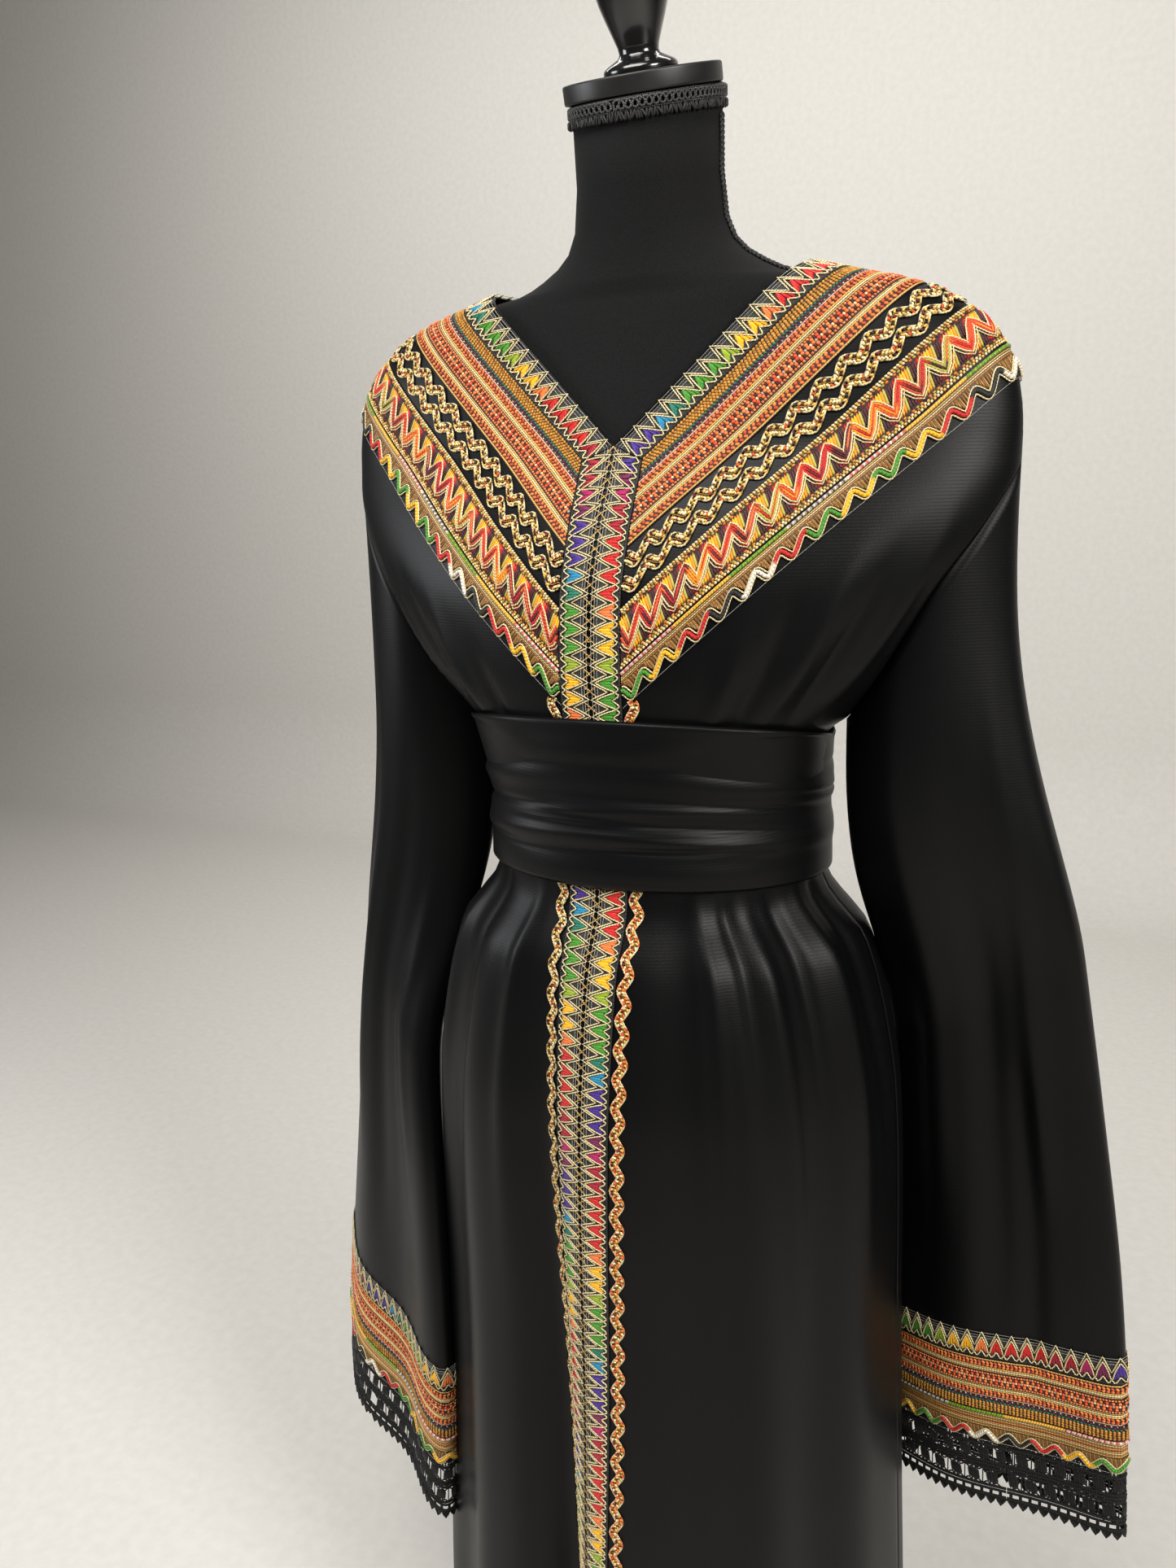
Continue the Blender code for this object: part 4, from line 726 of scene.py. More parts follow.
GIMP_CORD = cord_finish("gimp_cord", 0.30, 0.0, 0.0015, 0.2)
LACE_YARN = cord_finish("lace_yarn", 0.72, 0.0, 0.0020, 0.25)
LACE_LEAF = thread_finish("lace_leaf", 0.42, 0.0, 7, 0.3)
for finish in (LACE_YARN, LACE_LEAF):
    finish.node_tree.nodes["Principled BSDF"].inputs["Specular IOR Level"].default_value = 0.28
JERSEY = jersey_finish()
LACQUER = hard_black("lacquer", 0.16, 0.6, 14.0)
STAINED = hard_black("satin_lacquer", 0.42, 0.0, 18.0)
STEEL = hard_black("painted_steel", 0.38, 0.0, 20.0)
print("black finishes:", LACE_YARN.name, JERSEY.name, LACQUER.name, STEEL.name)

# %% [markdown]
# ## Front and back of the dress
#
# Each panel is cut in one length from shoulder to hem. Level rows of points run from the neck's edge or the centre
# out to the shoulder, the armhole or the side seam, close enough together to hold the small folds that spring from
# the sash. Solidify then gives the cloth its thickness on the inside.

# %% Panels
SKIRT_ROWS, CHEST_ROWS, ARMHOLE_ROWS, SHOULDER_ROWS, FRONT_NECK_ROWS, BACK_NECK_ROWS = 96, 18, 26, 7, 34, 12
FRONT_COLUMNS, BACK_COLUMNS = 58, 46


def quads(rows, columns, closed=False):
    """Faces between the neighbouring points of a grid."""
    i, j = np.meshgrid(np.arange(rows - 1), np.arange(columns if closed else columns - 1), indexing="ij")
    k = (j + 1) % columns
    return np.stack([i * columns + j, i * columns + k, (i + 1) * columns + k, (i + 1) * columns + j], -1).reshape(-1, 4)


def mesh_of(name, points, faces, material, outward_from=None):
    """Smooth mesh with doubles merged; faces are turned away from a point where one is given."""
    mesh = bpy.data.meshes.new(name)
    mesh.from_pydata(np.asarray(points).reshape(-1, 3).tolist(), [], np.asarray(faces).tolist())
    with edited(mesh) as build:
        bmesh.ops.remove_doubles(build, verts=build.verts, dist=0.00003)
        bmesh.ops.dissolve_degenerate(build, edges=build.edges, dist=0.00001)
        if outward_from is not None:
            middle = Vector(outward_from)
            facing = sum((f.calc_center_median() - middle).dot(f.normal) * f.calc_area() for f in build.faces)
            if facing < 0:
                bmesh.ops.reverse_faces(build, faces=build.faces)
    mesh.materials.append(material)
    mesh.shade_smooth()
    return mesh


def turned_out(mesh):
    """Turns all faces of a closed mesh outwards."""
    with edited(mesh) as build:
        bmesh.ops.recalc_face_normals(build, faces=build.faces)
    return mesh


def satin_sheet(name, mesh):
    """Object of satin with a wall on the inside of its surface."""
    print(name, "is", round(sum(face.area for face in mesh.polygons), 3), "square metres of satin")
    thing = new_object(name, mesh)
    wall = thing.modifiers.new("wall", "SOLIDIFY")
    wall.thickness, wall.offset, wall.use_even_offset = WALL, -1.0, False
    return thing


def neck_angle_front(height):
    """Angle of the V neck's edge."""
    return np.arcsin(np.clip(neck_edge_x(height) / smooth(BODY, 1, height), 0, 1))


def neck_angle_back(height):
    """Angle of the back neck's edge from the centre back."""
    side_x, back_y = back_neck_ends(0.0)
    across, deep = (smooth(BODY, 1, height) / side_x) ** 2, (smooth(BODY, 3, height) / back_y) ** 2
    return np.where(height <= NECK_BACK_HEIGHT, 0.0, np.arcsin(np.sqrt(np.clip((1 - deep) / (across - deep), 0, 1))))


def seam_turn(height, column):
    """Angle that a panel stops short of its seam."""
    gap = np.where(height > TIP_HEIGHT - 0.001, SHOULDER_GAP, SEAM_GAP)
    return gap / 2 / smooth(BODY, column, height)


def panel_heights(neck, top_rows):
    """Rows of a panel, closer together where the shape turns."""
    lean = (1 - np.cos(np.linspace(pi, 0, ARMHOLE_ROWS))) / 2
    armhole = TIP_HEIGHT - (TIP_HEIGHT - UNDERARM_HEIGHT) * lean
    stretches = (np.linspace(SKIRT_TOP, UNDERARM_HEIGHT, CHEST_ROWS), armhole,
                 np.linspace(TIP_HEIGHT, neck, SHOULDER_ROWS), np.linspace(neck, PANEL_TOP, top_rows))
    return np.concatenate([np.linspace(HEM_HEIGHT, SKIRT_TOP, SKIRT_ROWS)] + [heights[1:] for heights in stretches])


def panel(name, heights, columns, neck_angle, column, back):
    """Both halves of a panel, joined down the middle below the neck."""
    start, end = neck_angle(heights), edge_angle(heights) - seam_turn(heights, column)
    share = np.linspace(0, 1, columns)[None, :]
    angles = start[:, None] + (end - start)[:, None] * share
    angles = pi - angles if back else angles
    points, faces = [], []
    for side in (-1, 1):
        grid = dress_point(side * angles, heights[:, None])
        order = quads(*grid.shape[:2]) + len(points) * grid.shape[0] * grid.shape[1]
        faces.append(order if side * (-1 if back else 1) > 0 else order[:, ::-1])
        points.append(grid)
    return satin_sheet(name, mesh_of(name, np.concatenate(points), np.concatenate(faces), SATIN))


front = panel("dress_front_cloth", panel_heights(NECK_POINT_HEIGHT, FRONT_NECK_ROWS), FRONT_COLUMNS, neck_angle_front,
              2, False)
back = panel("dress_back_cloth", panel_heights(NECK_BACK_HEIGHT, BACK_NECK_ROWS), BACK_COLUMNS, neck_angle_back,
             3, True)
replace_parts(front, "dress_front")
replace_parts(back, "dress_back")
print("front panel", len(front.data.polygons), "faces, back", len(back.data.polygons))

# %% [markdown]
# ## Sleeves
#
# Each sleeve is a wide straight tube set into a dropped armhole. It hangs flat, so a level slice of it is a long thin
# loop between an outer and an inner fold. The table gives those two folds at each height.

# %% Sleeve tables
SLEEVE_COLUMNS, SLEEVE_STEP, SLEEVE_ROUND, SLEEVE_EASE = 18, 0.1875, 0.7, 0.45
# Height, outer fold x and y, inner fold x and y, and half thickness
SLEEVE_ROWS = {
    "left": np.array([
        (1.270, 0.264, 0.000, 0.150, 0.000, 0.046), (1.180, 0.278, 0.000, 0.150, 0.000, 0.046),
        (1.085, 0.296, 0.002, 0.152, 0.002, 0.042), (1.000, 0.311, 0.006, 0.168, 0.012, 0.034),
        (0.900, 0.328, 0.012, 0.181, 0.051, 0.025), (0.800, 0.345, 0.018, 0.181, 0.072, 0.020),
        (0.650, 0.369, 0.024, 0.184, 0.084, 0.017), (0.560, 0.379, 0.028, 0.186, 0.087, 0.016),
        (0.360, 0.393, 0.024, 0.189, 0.088, 0.017)]),
    "right": np.array([
        (1.270, -0.264, 0.000, -0.150, 0.000, 0.046), (1.180, -0.265, 0.000, -0.150, 0.000, 0.045),
        (1.085, -0.269, 0.002, -0.152, -0.002, 0.040), (1.000, -0.279, 0.006, -0.166, -0.012, 0.032),
        (0.900, -0.294, 0.010, -0.185, -0.039, 0.024), (0.800, -0.310, 0.014, -0.195, -0.063, 0.022),
        (0.650, -0.336, 0.018, -0.183, -0.088, 0.020), (0.500, -0.360, 0.022, -0.1795, -0.095, 0.021),
        (0.300, -0.382, 0.022, -0.1880, -0.097, 0.022)]),
}
# Angle, width, depth at the top and depth at the cuff
SLEEVE_FOLDS = {
    "left": [(58, 30, 0, -0.006), (112, 26, 0.004, 0.005), (-70, 30, 0, -0.006), (-125, 26, 0, 0.005)],
    "right": [(70, 26, 0, 0.011), (112, 24, 0, -0.012), (-80, 30, 0, -0.006), (-125, 26, 0, 0.005)],
}
# Soft folds: angle at the top and at the cuff, width, depth, and the heights where each starts and ends
SOFT_FOLDS = {
    "left": [(48, 62, 8, 0.0040, 1.20, 0.66), (80, 88, 9, -0.0036, 1.16, 0.50), (110, 118, 9, 0.0040, 1.22, 0.60),
             (66, 74, 7, -0.0030, 0.86, 0.48), (138, 132, 9, -0.0036, 1.12, 0.52), (232, 238, 11, 0.0040, 1.18, 0.52),
             (268, 272, 12, -0.0036, 1.14, 0.50), (305, 300, 11, 0.0036, 1.18, 0.60)],
    "right": [(60, 66, 8, 0.0036, 1.18, 0.62), (92, 90, 9, -0.0034, 1.16, 0.52), (122, 126, 9, 0.0036, 1.20, 0.60),
              (232, 238, 11, 0.0040, 1.18, 0.52), (268, 272, 12, -0.0036, 1.14, 0.50),
              (305, 300, 11, 0.0036, 1.18, 0.60)],
}
# Height of the satin's end at the outer fold, and how much lower it is at the inner one
SLEEVE_END = {"left": (0.484, 0.045), "right": (0.440, 0.057)}


def sleeve_ring(word, angle, height):
    """Point of the hanging sleeve, flattened between its outer and inner folds."""
    rows = SLEEVE_ROWS[word]
    angle, height = np.broadcast_arrays(np.asarray(angle, float), np.asarray(height, float))
    outer = np.stack([smooth(rows, 1, height), smooth(rows, 2, height)], -1)
    inner = np.stack([smooth(rows, 3, height), smooth(rows, 4, height)], -1)
    half = (outer - inner) / 2
    along = half / np.linalg.norm(half, axis=-1, keepdims=True)
    ahead = np.stack([along[..., 1], -along[..., 0]], -1) * SIDES[word]
    drop = (TIP_HEIGHT - height) / (TIP_HEIGHT - rows[-1, 0])
    push = sum((top + (low - top) * drop) * bell(np.degrees(angle), centre, width)
               for centre, width, top, low in SLEEVE_FOLDS[word])
    for first, last, width, depth, top, low in SOFT_FOLDS[word]:
        share = np.clip((top - height) / (top - low), 0, 1)
        fade = ease(np.minimum(share, 1 - share) * 4)
        push = push + depth * fade * bell(np.degrees(angle), first + (last - first) * share, width)
    rise = np.abs(np.sin(angle))
    away = np.where(np.sin(angle) >= 0, 1, -1) * (smooth(rows, 5, height) * rise ** SLEEVE_ROUND + push * rise)
    flat = (outer + inner) / 2 + half * np.cos(angle)[..., None] + ahead * away[..., None]
    return np.concatenate([flat, height[..., None]], -1)


def cuff_angle(word, column):
    """Angle round the sleeve at the cuff, evenly spaced round each half."""
    angles = []
    for low in (0.0, pi):
        line = sleeve_ring(word, np.linspace(low, low + pi, 240), SLEEVE_END[word][0])
        angles.append(low + pi * spaced(line, SLEEVE_COLUMNS // 2 + 1)[:-1])
    table = np.concatenate(angles + [[2 * pi]])
    turns = np.floor(column / SLEEVE_COLUMNS)
    return np.interp(column - turns * SLEEVE_COLUMNS, np.arange(SLEEVE_COLUMNS + 1), table) + 2 * pi * turns


def satin_end(word, column):
    """Height at which the satin ends."""
    end, slant = SLEEVE_END[word]
    return end - slant * (1 - np.cos(cuff_angle(word, column))) / 2


def armhole_point(word, angle):
    """Point on the armhole: angle 0 at the shoulder tip, 180 degrees under the arm."""
    height = TIP_HEIGHT - (TIP_HEIGHT - UNDERARM_HEIGHT) * (1 - np.cos(angle)) / 2
    turn = edge_angle(height)
    point = dress_point(np.where(np.sin(angle) < 0, pi - turn, turn), height)
    return point * np.array([SIDES[word], 1, 1])


def sleeve_point(word, column, height):
    """Point of the sleeve at a column, 0 to 18 round it from the outer fold, and a height."""
    column, height = np.broadcast_arrays(np.asarray(column, float), np.asarray(height, float))
    at_seam, at_cuff = 2 * pi * column / SLEEVE_COLUMNS, cuff_angle(word, column)
    start = armhole_point(word, at_seam)
    share = (start[..., 2] - height) / (start[..., 2] - satin_end(word, column))
    blend = ease(share / SLEEVE_EASE)[..., None]
    ring = sleeve_ring(word, at_seam + (at_cuff - at_seam) * blend[..., 0], height)
    point = ring * blend + start * (1 - blend)
    point[..., 2] = height
    return point


def cuff_point(word, column, rise):
    """Point near the cuff, a rise above or below the end of the satin."""
    column, rise = np.broadcast_arrays(np.asarray(column, float), np.asarray(rise, float))
    return sleeve_point(word, column, satin_end(word, column) + rise)


def sleeve(word):
    """The satin tube from the armhole to the cuff."""
    columns = np.arange(0, SLEEVE_COLUMNS, SLEEVE_STEP)
    starts = armhole_point(word, 2 * pi * columns / SLEEVE_COLUMNS)[:, 2] - ARMHOLE_GAP
    ends = satin_end(word, columns)
    shares = np.concatenate([np.linspace(0, 0.12, 8), np.linspace(0.12, 1, 76)[1:]])[:, None]
    grid = sleeve_point(word, columns[None, :], starts[None, :] * (1 - shares) + ends[None, :] * shares)
    middle = grid.reshape(-1, 3).mean(0)
    mesh = mesh_of("sleeve", grid, quads(*grid.shape[:2], closed=True), SATIN, middle)
    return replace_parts(satin_sheet("sleeve_%s_cloth" % word, mesh), "sleeve_" + word)


SLEEVES = {word: sleeve(word) for word in SIDES}
print("sleeves", [len(s.data.polygons) for s in SLEEVES.values()], "faces")

# %% [markdown]
# ## Sash
#
# The sash is a wide strip of the same satin pulled round the waist. It gathers into level folds: some are soft swells
# and some are sharp creases that fade out round the side, so each is a line on the ring with its own depth and length.

# %% Sash
# Height behind and how much it rises to the front
SASH_TOP, SASH_BOTTOM, SASH_LEVELS, SASH_AROUND = (1.077, 0.027), (0.969, 0.010), 50, 180
# The sash keeps the body's shape down to a height; inner face and thickness; its rounded edge, as a share
SASH_SHAPE_LOW, SASH_INNER, SASH_THIN, SASH_SWELL, SASH_FOLD_GAIN, SASH_EDGE = 0.974, 0.0040, 0.0006, 0.0022, 1.3, 0.02
# Level at the angle, slope for each 90 degrees, angle, spread, width and depth
SASH_FOLDS = [
    (0.12, 0.02, 20, 60, 0.09, 0.0020), (0.30, -0.05, 45, 50, 0.07, 0.0034), (0.30, 0.06, -35, 45, 0.07, 0.0030),
    (0.47, 0.10, 12, 45, 0.06, 0.0024), (0.62, -0.06, 70, 50, 0.07, 0.0030), (0.62, 0.05, -70, 50, 0.07, 0.0030),
    (0.82, 0.00, -10, 60, 0.08, 0.0016), (0.38, 0.04, 180, 80, 0.07, 0.0030), (0.70, -0.04, 180, 80, 0.08, 0.0026),
    (0.39, -0.08, 34, 38, 0.018, -0.0022), (0.335, -0.03, 38, 26, 0.014, -0.0018),
    (0.255, 0.05, 30, 34, 0.018, -0.0022), (0.37, 0.02, -8, 24, 0.016, -0.0018), (0.44, 0.06, 4, 30, 0.016, -0.0014),
    (0.52, -0.06, 48, 30, 0.018, -0.0020), (0.46, 0.05, -48, 34, 0.020, -0.0022),
    (0.22, -0.04, -52, 30, 0.018, -0.0018), (0.70, 0.06, -62, 34, 0.020, -0.0018),
    (0.74, 0.03, 62, 34, 0.020, -0.0016), (0.55, 0.05, 150, 44, 0.020, -0.0022),
    (0.28, -0.04, 208, 44, 0.020, -0.0020), (0.80, 0.03, 120, 40, 0.020, -0.0016),
    (0.50, -0.05, 262, 40, 0.020, -0.0020), (0.60, 0.05, 92, 34, 0.020, -0.0022),
]


def sash():
    """Closed ring: a smooth inner face and a gathered outer one."""
    angles = np.linspace(0, 2 * pi, SASH_AROUND, endpoint=False)
    turn = np.degrees(angles)
    forward = np.maximum(0, np.cos(angles))
    low, high = SASH_BOTTOM[0] + SASH_BOTTOM[1] * forward, SASH_TOP[0] + SASH_TOP[1] * forward

    def ring(level, lift):
        height = low + (high - low) * level
        return body_point(angles, height, np.maximum(height, SASH_SHAPE_LOW), SASH_INNER + lift)

    rows = [ring(level, 0.0) for level in (0.992, 0.5, 0.008)]
    for level in np.linspace(0, 1, SASH_LEVELS):
        lift = np.full(SASH_AROUND, SASH_SWELL)
        for at, slope, centre, spread, width, depth in SASH_FOLDS:
            away = (turn - centre + 180) % 360 - 180
            lift = lift + SASH_FOLD_GAIN * depth * np.exp(-((level - at - slope * away / 90) / width) ** 2
                                                          - (away / spread) ** 2)
        rim = min(1.0, min(level, 1 - level) / SASH_EDGE)
        rows.append(ring(level, SASH_THIN + (lift - SASH_THIN) * sqrt(rim)))
    faces = quads(len(rows) + 1, SASH_AROUND, closed=True) % (len(rows) * SASH_AROUND)
    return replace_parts(new_object("sash_cloth", turned_out(mesh_of("sash_cloth", rows, faces, SATIN))), "sash")


SASH = sash()
print("sash", len(SASH.data.polygons), "faces")

# %% [markdown]
# ## Sewing on a strip
#
# A trim is written down flat first, as lists of stitches and cords, and then laid on its strip in one go. The two
# trees make it, and it is joined with its woven ground into one piece that stands for one CAD node.

# %% Colours of the threads
CREAM, GOLD, OLD_GOLD, MUSTARD = (0.86, 0.72, 0.40), (0.76, 0.47, 0.11), (0.34, 0.17, 0.030), (0.56, 0.23, 0.014)
ORANGE, RUST, RED, DARK_RED = (0.80, 0.18, 0.035), (0.56, 0.06, 0.013), (0.55, 0.007, 0.007), (0.14, 0.005, 0.007)
CRIMSON, MAGENTA, PLUM, VIOLET = (0.35, 0.003, 0.021), (0.40, 0.003, 0.10), (0.156, 0.003, 0.061), (0.045, 0.013, 0.22)
BLUE, TEAL, GREEN, LIME = (0.007, 0.22, 0.40), (0.004, 0.156, 0.10), (0.05, 0.26, 0.013), (0.27, 0.38, 0.013)
YELLOW, AMBER, OLIVE, PINK = (0.93, 0.46, 0.004), (0.90, 0.30, 0.007), (0.48, 0.43, 0.06), (0.80, 0.50, 0.36)
WHITE, BLACK, MAROON, BRONZE = (0.80, 0.73, 0.62), (0.006, 0.006, 0.006), (0.045, 0.003, 0.007), (0.19, 0.085, 0.016)
RED_ORANGE, SILVER, CLEAR = (0.75, 0.075, 0.010), (0.45, 0.38, 0.26), (0.55, 0.53, 0.48)

# %% Sewing
# A cord gets its number of sides from its radius, the last one for any thinner cord
CORD_SIDES = ((0.0013, 7), (0.0009, 6), (0.00065, 5), (0.0, 4))
GROUND_THICKNESS, GROUND_STEP, END_MARGIN = 0.0008, 0.006, 0.0003


def with_alpha(colours):
    """Colours with a fourth number, as attributes keep them."""
    return np.concatenate([colours, np.ones((len(colours), 1))], 1)


class Sewing:
    """What is sewn on one strip: stitches and cords, flat until it is made."""

    def __init__(self, strip):
        self.strip, self.stitches, self.cords, self.meshes = strip, [], [], []

    def stitch(self, along, across, slant, length, width, tint, up=0.0006, thick=0.0011, finish=None):
        """Stitches at some places; slant is their angle from the strip's own direction."""
        along, across, slant, length, width, up = np.broadcast_arrays(
            *(np.asarray(v, float) for v in (along, across, slant, length, width, up)))
        tint = np.broadcast_to(np.asarray(tint, float), along.shape + (3,))
        keep = (along > END_MARGIN) & (along < self.strip.length - END_MARGIN)
        size = np.stack([length, width, np.full(along.shape, thick)], -1)
        self.stitches.append((finish or SILK, along[keep], across[keep], slant[keep], up[keep], size[keep], tint[keep]))

    def cord(self, along, across, radius, tint, up=None, finish=None):
        """A cord along a flat path, cut off at the strip's ends."""
        sides = next(count for least, count in CORD_SIDES if radius > least)
        along, across = np.broadcast_arrays(np.asarray(along, float), np.asarray(across, float))
        up = np.broadcast_to(np.asarray(radius * 0.8 + 0.0002 if up is None else up, float), along.shape)
        tint = np.broadcast_to(np.asarray(tint, float), along.shape + (3,))
        keep = (along >= 0) & (along <= self.strip.length)
        self.cords.append((finish or GOLD_CORD, radius, sides, along[keep], across[keep], up[keep], tint[keep]))

    def straight(self, across, radius, tint, up=None, finish=None, step=GROUND_STEP):
        """A cord straight along the strip."""
        line = np.linspace(0, self.strip.length, max(int(self.strip.length / step), 4))
        self.cord(line, across, radius, tint, up, finish)

    def ground(self, material, near, far, up=0.0002):
        """Woven ground between two lines of the strip: two faces and a rim."""
        rows = max(int(self.strip.length / GROUND_STEP), 8)
        along = np.linspace(0, self.strip.length, rows)[:, None]
        across = np.linspace(near, far, STRIP_COLUMNS)[None, :]
        low, high = (self.strip.at(along, across, rise) for rise in (up, up + GROUND_THICKNESS))
        i, j, last = np.arange(rows), np.arange(STRIP_COLUMNS), STRIP_COLUMNS - 1
        rim = np.concatenate([i * STRIP_COLUMNS, (rows - 1) * STRIP_COLUMNS + j[1:],
                              i[::-1][1:] * STRIP_COLUMNS + last, j[::-1][1:-1]])
        after, above = np.roll(rim, -1), rows * STRIP_COLUMNS
        level = quads(rows, STRIP_COLUMNS)
        faces = [level[:, ::-1], level + above, np.stack([rim, after, after + above, rim + above], -1)]
        mesh = bpy.data.meshes.new("ground")
        points = np.concatenate([low.reshape(-1, 3), high.reshape(-1, 3)])
        mesh.from_pydata(points.tolist(), [], np.concatenate(faces).tolist())
        with edited(mesh) as build:
            bmesh.ops.remove_doubles(build, verts=build.verts, dist=0.00002)
            bmesh.ops.recalc_face_normals(build, faces=build.faces)
        mesh.materials.append(material)
        self.meshes.append(mesh)

    def make_stitches(self):
        """Stitches of each finish, through the stitch tree."""
        for finish in sorted({row[0] for row in self.stitches}, key=lambda m: m.name):
            rows = [row[1:] for row in self.stitches if row[0] == finish]
            along, across, slant, up, size, tint = (np.concatenate([row[k] for row in rows]) for k in range(6))
            if not len(along):
                continue
            strip = self.strip
            forward, sideways = strip.read(strip.along, along, across), strip.read(strip.across, along, across)
            lie = forward * np.cos(slant)[:, None] + sideways * np.sin(slant)[:, None]
            cloud = bpy.data.meshes.new("stitch_places")
            cloud.from_pydata(strip.at(along, across, up).tolist(), [], [])
            point_field(cloud, "face", "FLOAT_VECTOR", strip.read(strip.normal, along, across))
            point_field(cloud, "lie", "FLOAT_VECTOR", lie)
            point_field(cloud, "size", "FLOAT_VECTOR", size)
            point_field(cloud, "tint", "FLOAT_COLOR", with_alpha(tint))
            self.meshes.append(grown(new_object("stitches", cloud), STITCHES, {"Motif": MOTIF, "Material": finish}))

    def make_cords(self):
        """Cords of each finish and radius, through the cord tree."""
        kinds = sorted({(row[0].name, row[1], row[2]) for row in self.cords})
        for name, radius, sides in kinds:
            rows = [row for row in self.cords if (row[0].name, row[1], row[2]) == (name, radius, sides)]
            points, edges, tints, first = [], [], [], 0
            for _, _, _, along, across, up, tint in rows:
                if len(along) < 2:
                    continue
                points.append(self.strip.at(along, across, up))
                order = np.arange(first, first + len(along) - 1)
                edges.append(np.stack([order, order + 1], -1))
                tints.append(tint)
                first += len(along)
            lines = bpy.data.meshes.new("cord_lines")
            lines.from_pydata(np.concatenate(points).tolist(), np.concatenate(edges).tolist(), [])
            point_field(lines, "tint", "FLOAT_COLOR", with_alpha(np.concatenate(tints)))
            settings = {"Radius": radius, "Sides": sides, "Material": bpy.data.materials[name]}
            self.meshes.append(grown(new_object("cords", lines), CORDS, settings))

    def make(self, node, ending="sewn"):
        """The finished piece, which stands for its CAD node."""
        self.make_stitches()
        self.make_cords()
        thing = joined("%s_%s" % (node, ending), self.meshes)
        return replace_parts(thing, node)


def zigzag(length, period, near, far, phase=0.0, corner=0.16, step=4):
    """Flat path that swings between two lines, with slightly rounded corners."""
    count = int(length / period * 2 * step) + 1
    along = np.arange(count + 1) * period / 2 / step
    wave = 1 - np.abs(((along / period + phase) % 1) * 2 - 1)
    wave = wave + corner * (ease(wave) - wave)
    return along, near + (far - near) * wave


def beside(along, across, shift):
    """Path at a distance beside another one."""
    slope = np.gradient(across, along)
    reach = np.sqrt(1 + slope ** 2)
    return along - slope / reach * shift, across + shift / reach


def cycle(colours, index):
    """Colours in turn."""
    table = np.array(colours)
    return table[np.mod(np.asarray(index, int), len(table))]


def pair(node, strip_of, sew):
    """One trim on each side of the dress: its strip is laid out, sewn on and made."""
    made = []
    for word, side in SIDES.items():
        sewing = Sewing(strip_of(side))
        sew(sewing, side)
        made.append(sewing.make("%s_%s" % (node, word)))
    return made


print("the sewing helper is ready")

# %% [markdown]
# ## Zigzag braid
#
# This braid has silk teeth, each shaped like a tulip with its tip towards the open edge. The silk changes colour from
# tooth to tooth in rainbow order, and each tooth is painted lighter down its middle and darker at its sides, as a
# painted highlight and painted shade. A cream-gold cord outlines each tooth and curls at its foot, a second one
# zigzags past the tips over clear net, and a black cord covers the sewn edge.

# %% Zigzag braid
BRAID_PITCH, BRAID_WIDTH, CENTRE_BRAID_WIDTH, CUFF_BRAID_WIDTH = 0.0122, 0.0215, 0.0213, 0.0235
TEETH_OUTLINE, NET_THREAD, SEWN_EDGE, NET_STEP = 0.00055, 0.00018, 0.00095, 0.005
RAINBOW = [BLUE, TEAL, GREEN, GREEN, GREEN, LIME, YELLOW, YELLOW, ORANGE, RED, RED, RED, RED, CRIMSON, CRIMSON,
           MAGENTA, PLUM, VIOLET, VIOLET, VIOLET]


def mirrored(shares, values):
    """Path over one tooth from its right half: shares of the pitch from 0 to 0.5, and the values there."""
    return np.concatenate([-np.array(shares[::-1]), shares[1:]]), np.concatenate([values[::-1], values[1:]])


def braid(sewing, width, first_colour, way):
    """Zigzag braid over the whole strip; its open edge is at 0 and its teeth stand on the far edge."""
    length = sewing.strip.length
    count = max(int(round(length / BRAID_PITCH)), 1)
    pitch = length / count
    middle = (np.arange(count) + 0.5) * pitch
    tint = cycle(RAINBOW, first_colour + way * np.arange(count))
    part = width / BRAID_WIDTH
    sewing.ground(TULLE, 0.0040 * part, width - 0.0002)
    tip, foot, notch = 0.0062 * part, 0.0192 * part, 0.0172 * part
    petals = [(0.0, tip, notch, 0.0, 0.0032)]
    for shift, low, high, lean, wide in ((0.0020, tip + 0.0020, foot, 0.15, 0.0032),
                                         (0.0039, tip + 0.0056, foot + 0.0006, 0.22, 0.0028)):
        petals += [(hand * shift, low, high, hand * lean, wide) for hand in (1, -1)]
    # The middle petal is painted lighter and the side petals darker: a painted highlight down each tooth, painted shade
    # on its flanks
    for shift, low, high, lean, wide in petals:
        shade = tint * (1.12 if shift == 0 else 0.92)
        sewing.stitch(middle + shift, (low + high) / 2, pi / 2 - lean, high - low, wide, shade, 0.0012, 0.0016)
    flank = mirrored([0, 0.06, 0.20, 0.33, 0.43, 0.5],
                     [tip - 0.0014, tip - 0.0004, tip + 0.0032, tip + 0.0072, foot - 0.0020, foot])
    curl = mirrored([0, 0.07, 0.14, 0.25, 0.36, 0.43, 0.5],
                    [notch - 0.0004, notch + 0.0006, foot, width - 0.0004, width, foot + 0.0008, foot])
    for (shares, values), up in ((flank, 0.0018), (curl, 0.0017)):
        along = (middle[:, None] + shares[None, :-1] * pitch).ravel()
        sewing.cord(along, np.tile(values[:-1], count), TEETH_OUTLINE, CREAM, up)
    sewing.cord(*zigzag(length, pitch, 0.0132 * part, 0.0006), TEETH_OUTLINE, CREAM, 0.0015)
    sewing.cord(*zigzag(length, pitch, 0.0152 * part, 0.0034 * part), 0.0006, BLACK, 0.0011, COTTON_CORD)
    for across in (0.0016, 0.0038 * part, 0.0060 * part):
        sewing.straight(across, NET_THREAD, CLEAR, 0.0014, step=NET_STEP)
    sewing.straight(width + 0.0008, SEWN_EDGE, BLACK, finish=COTTON_CORD, step=NET_STEP)


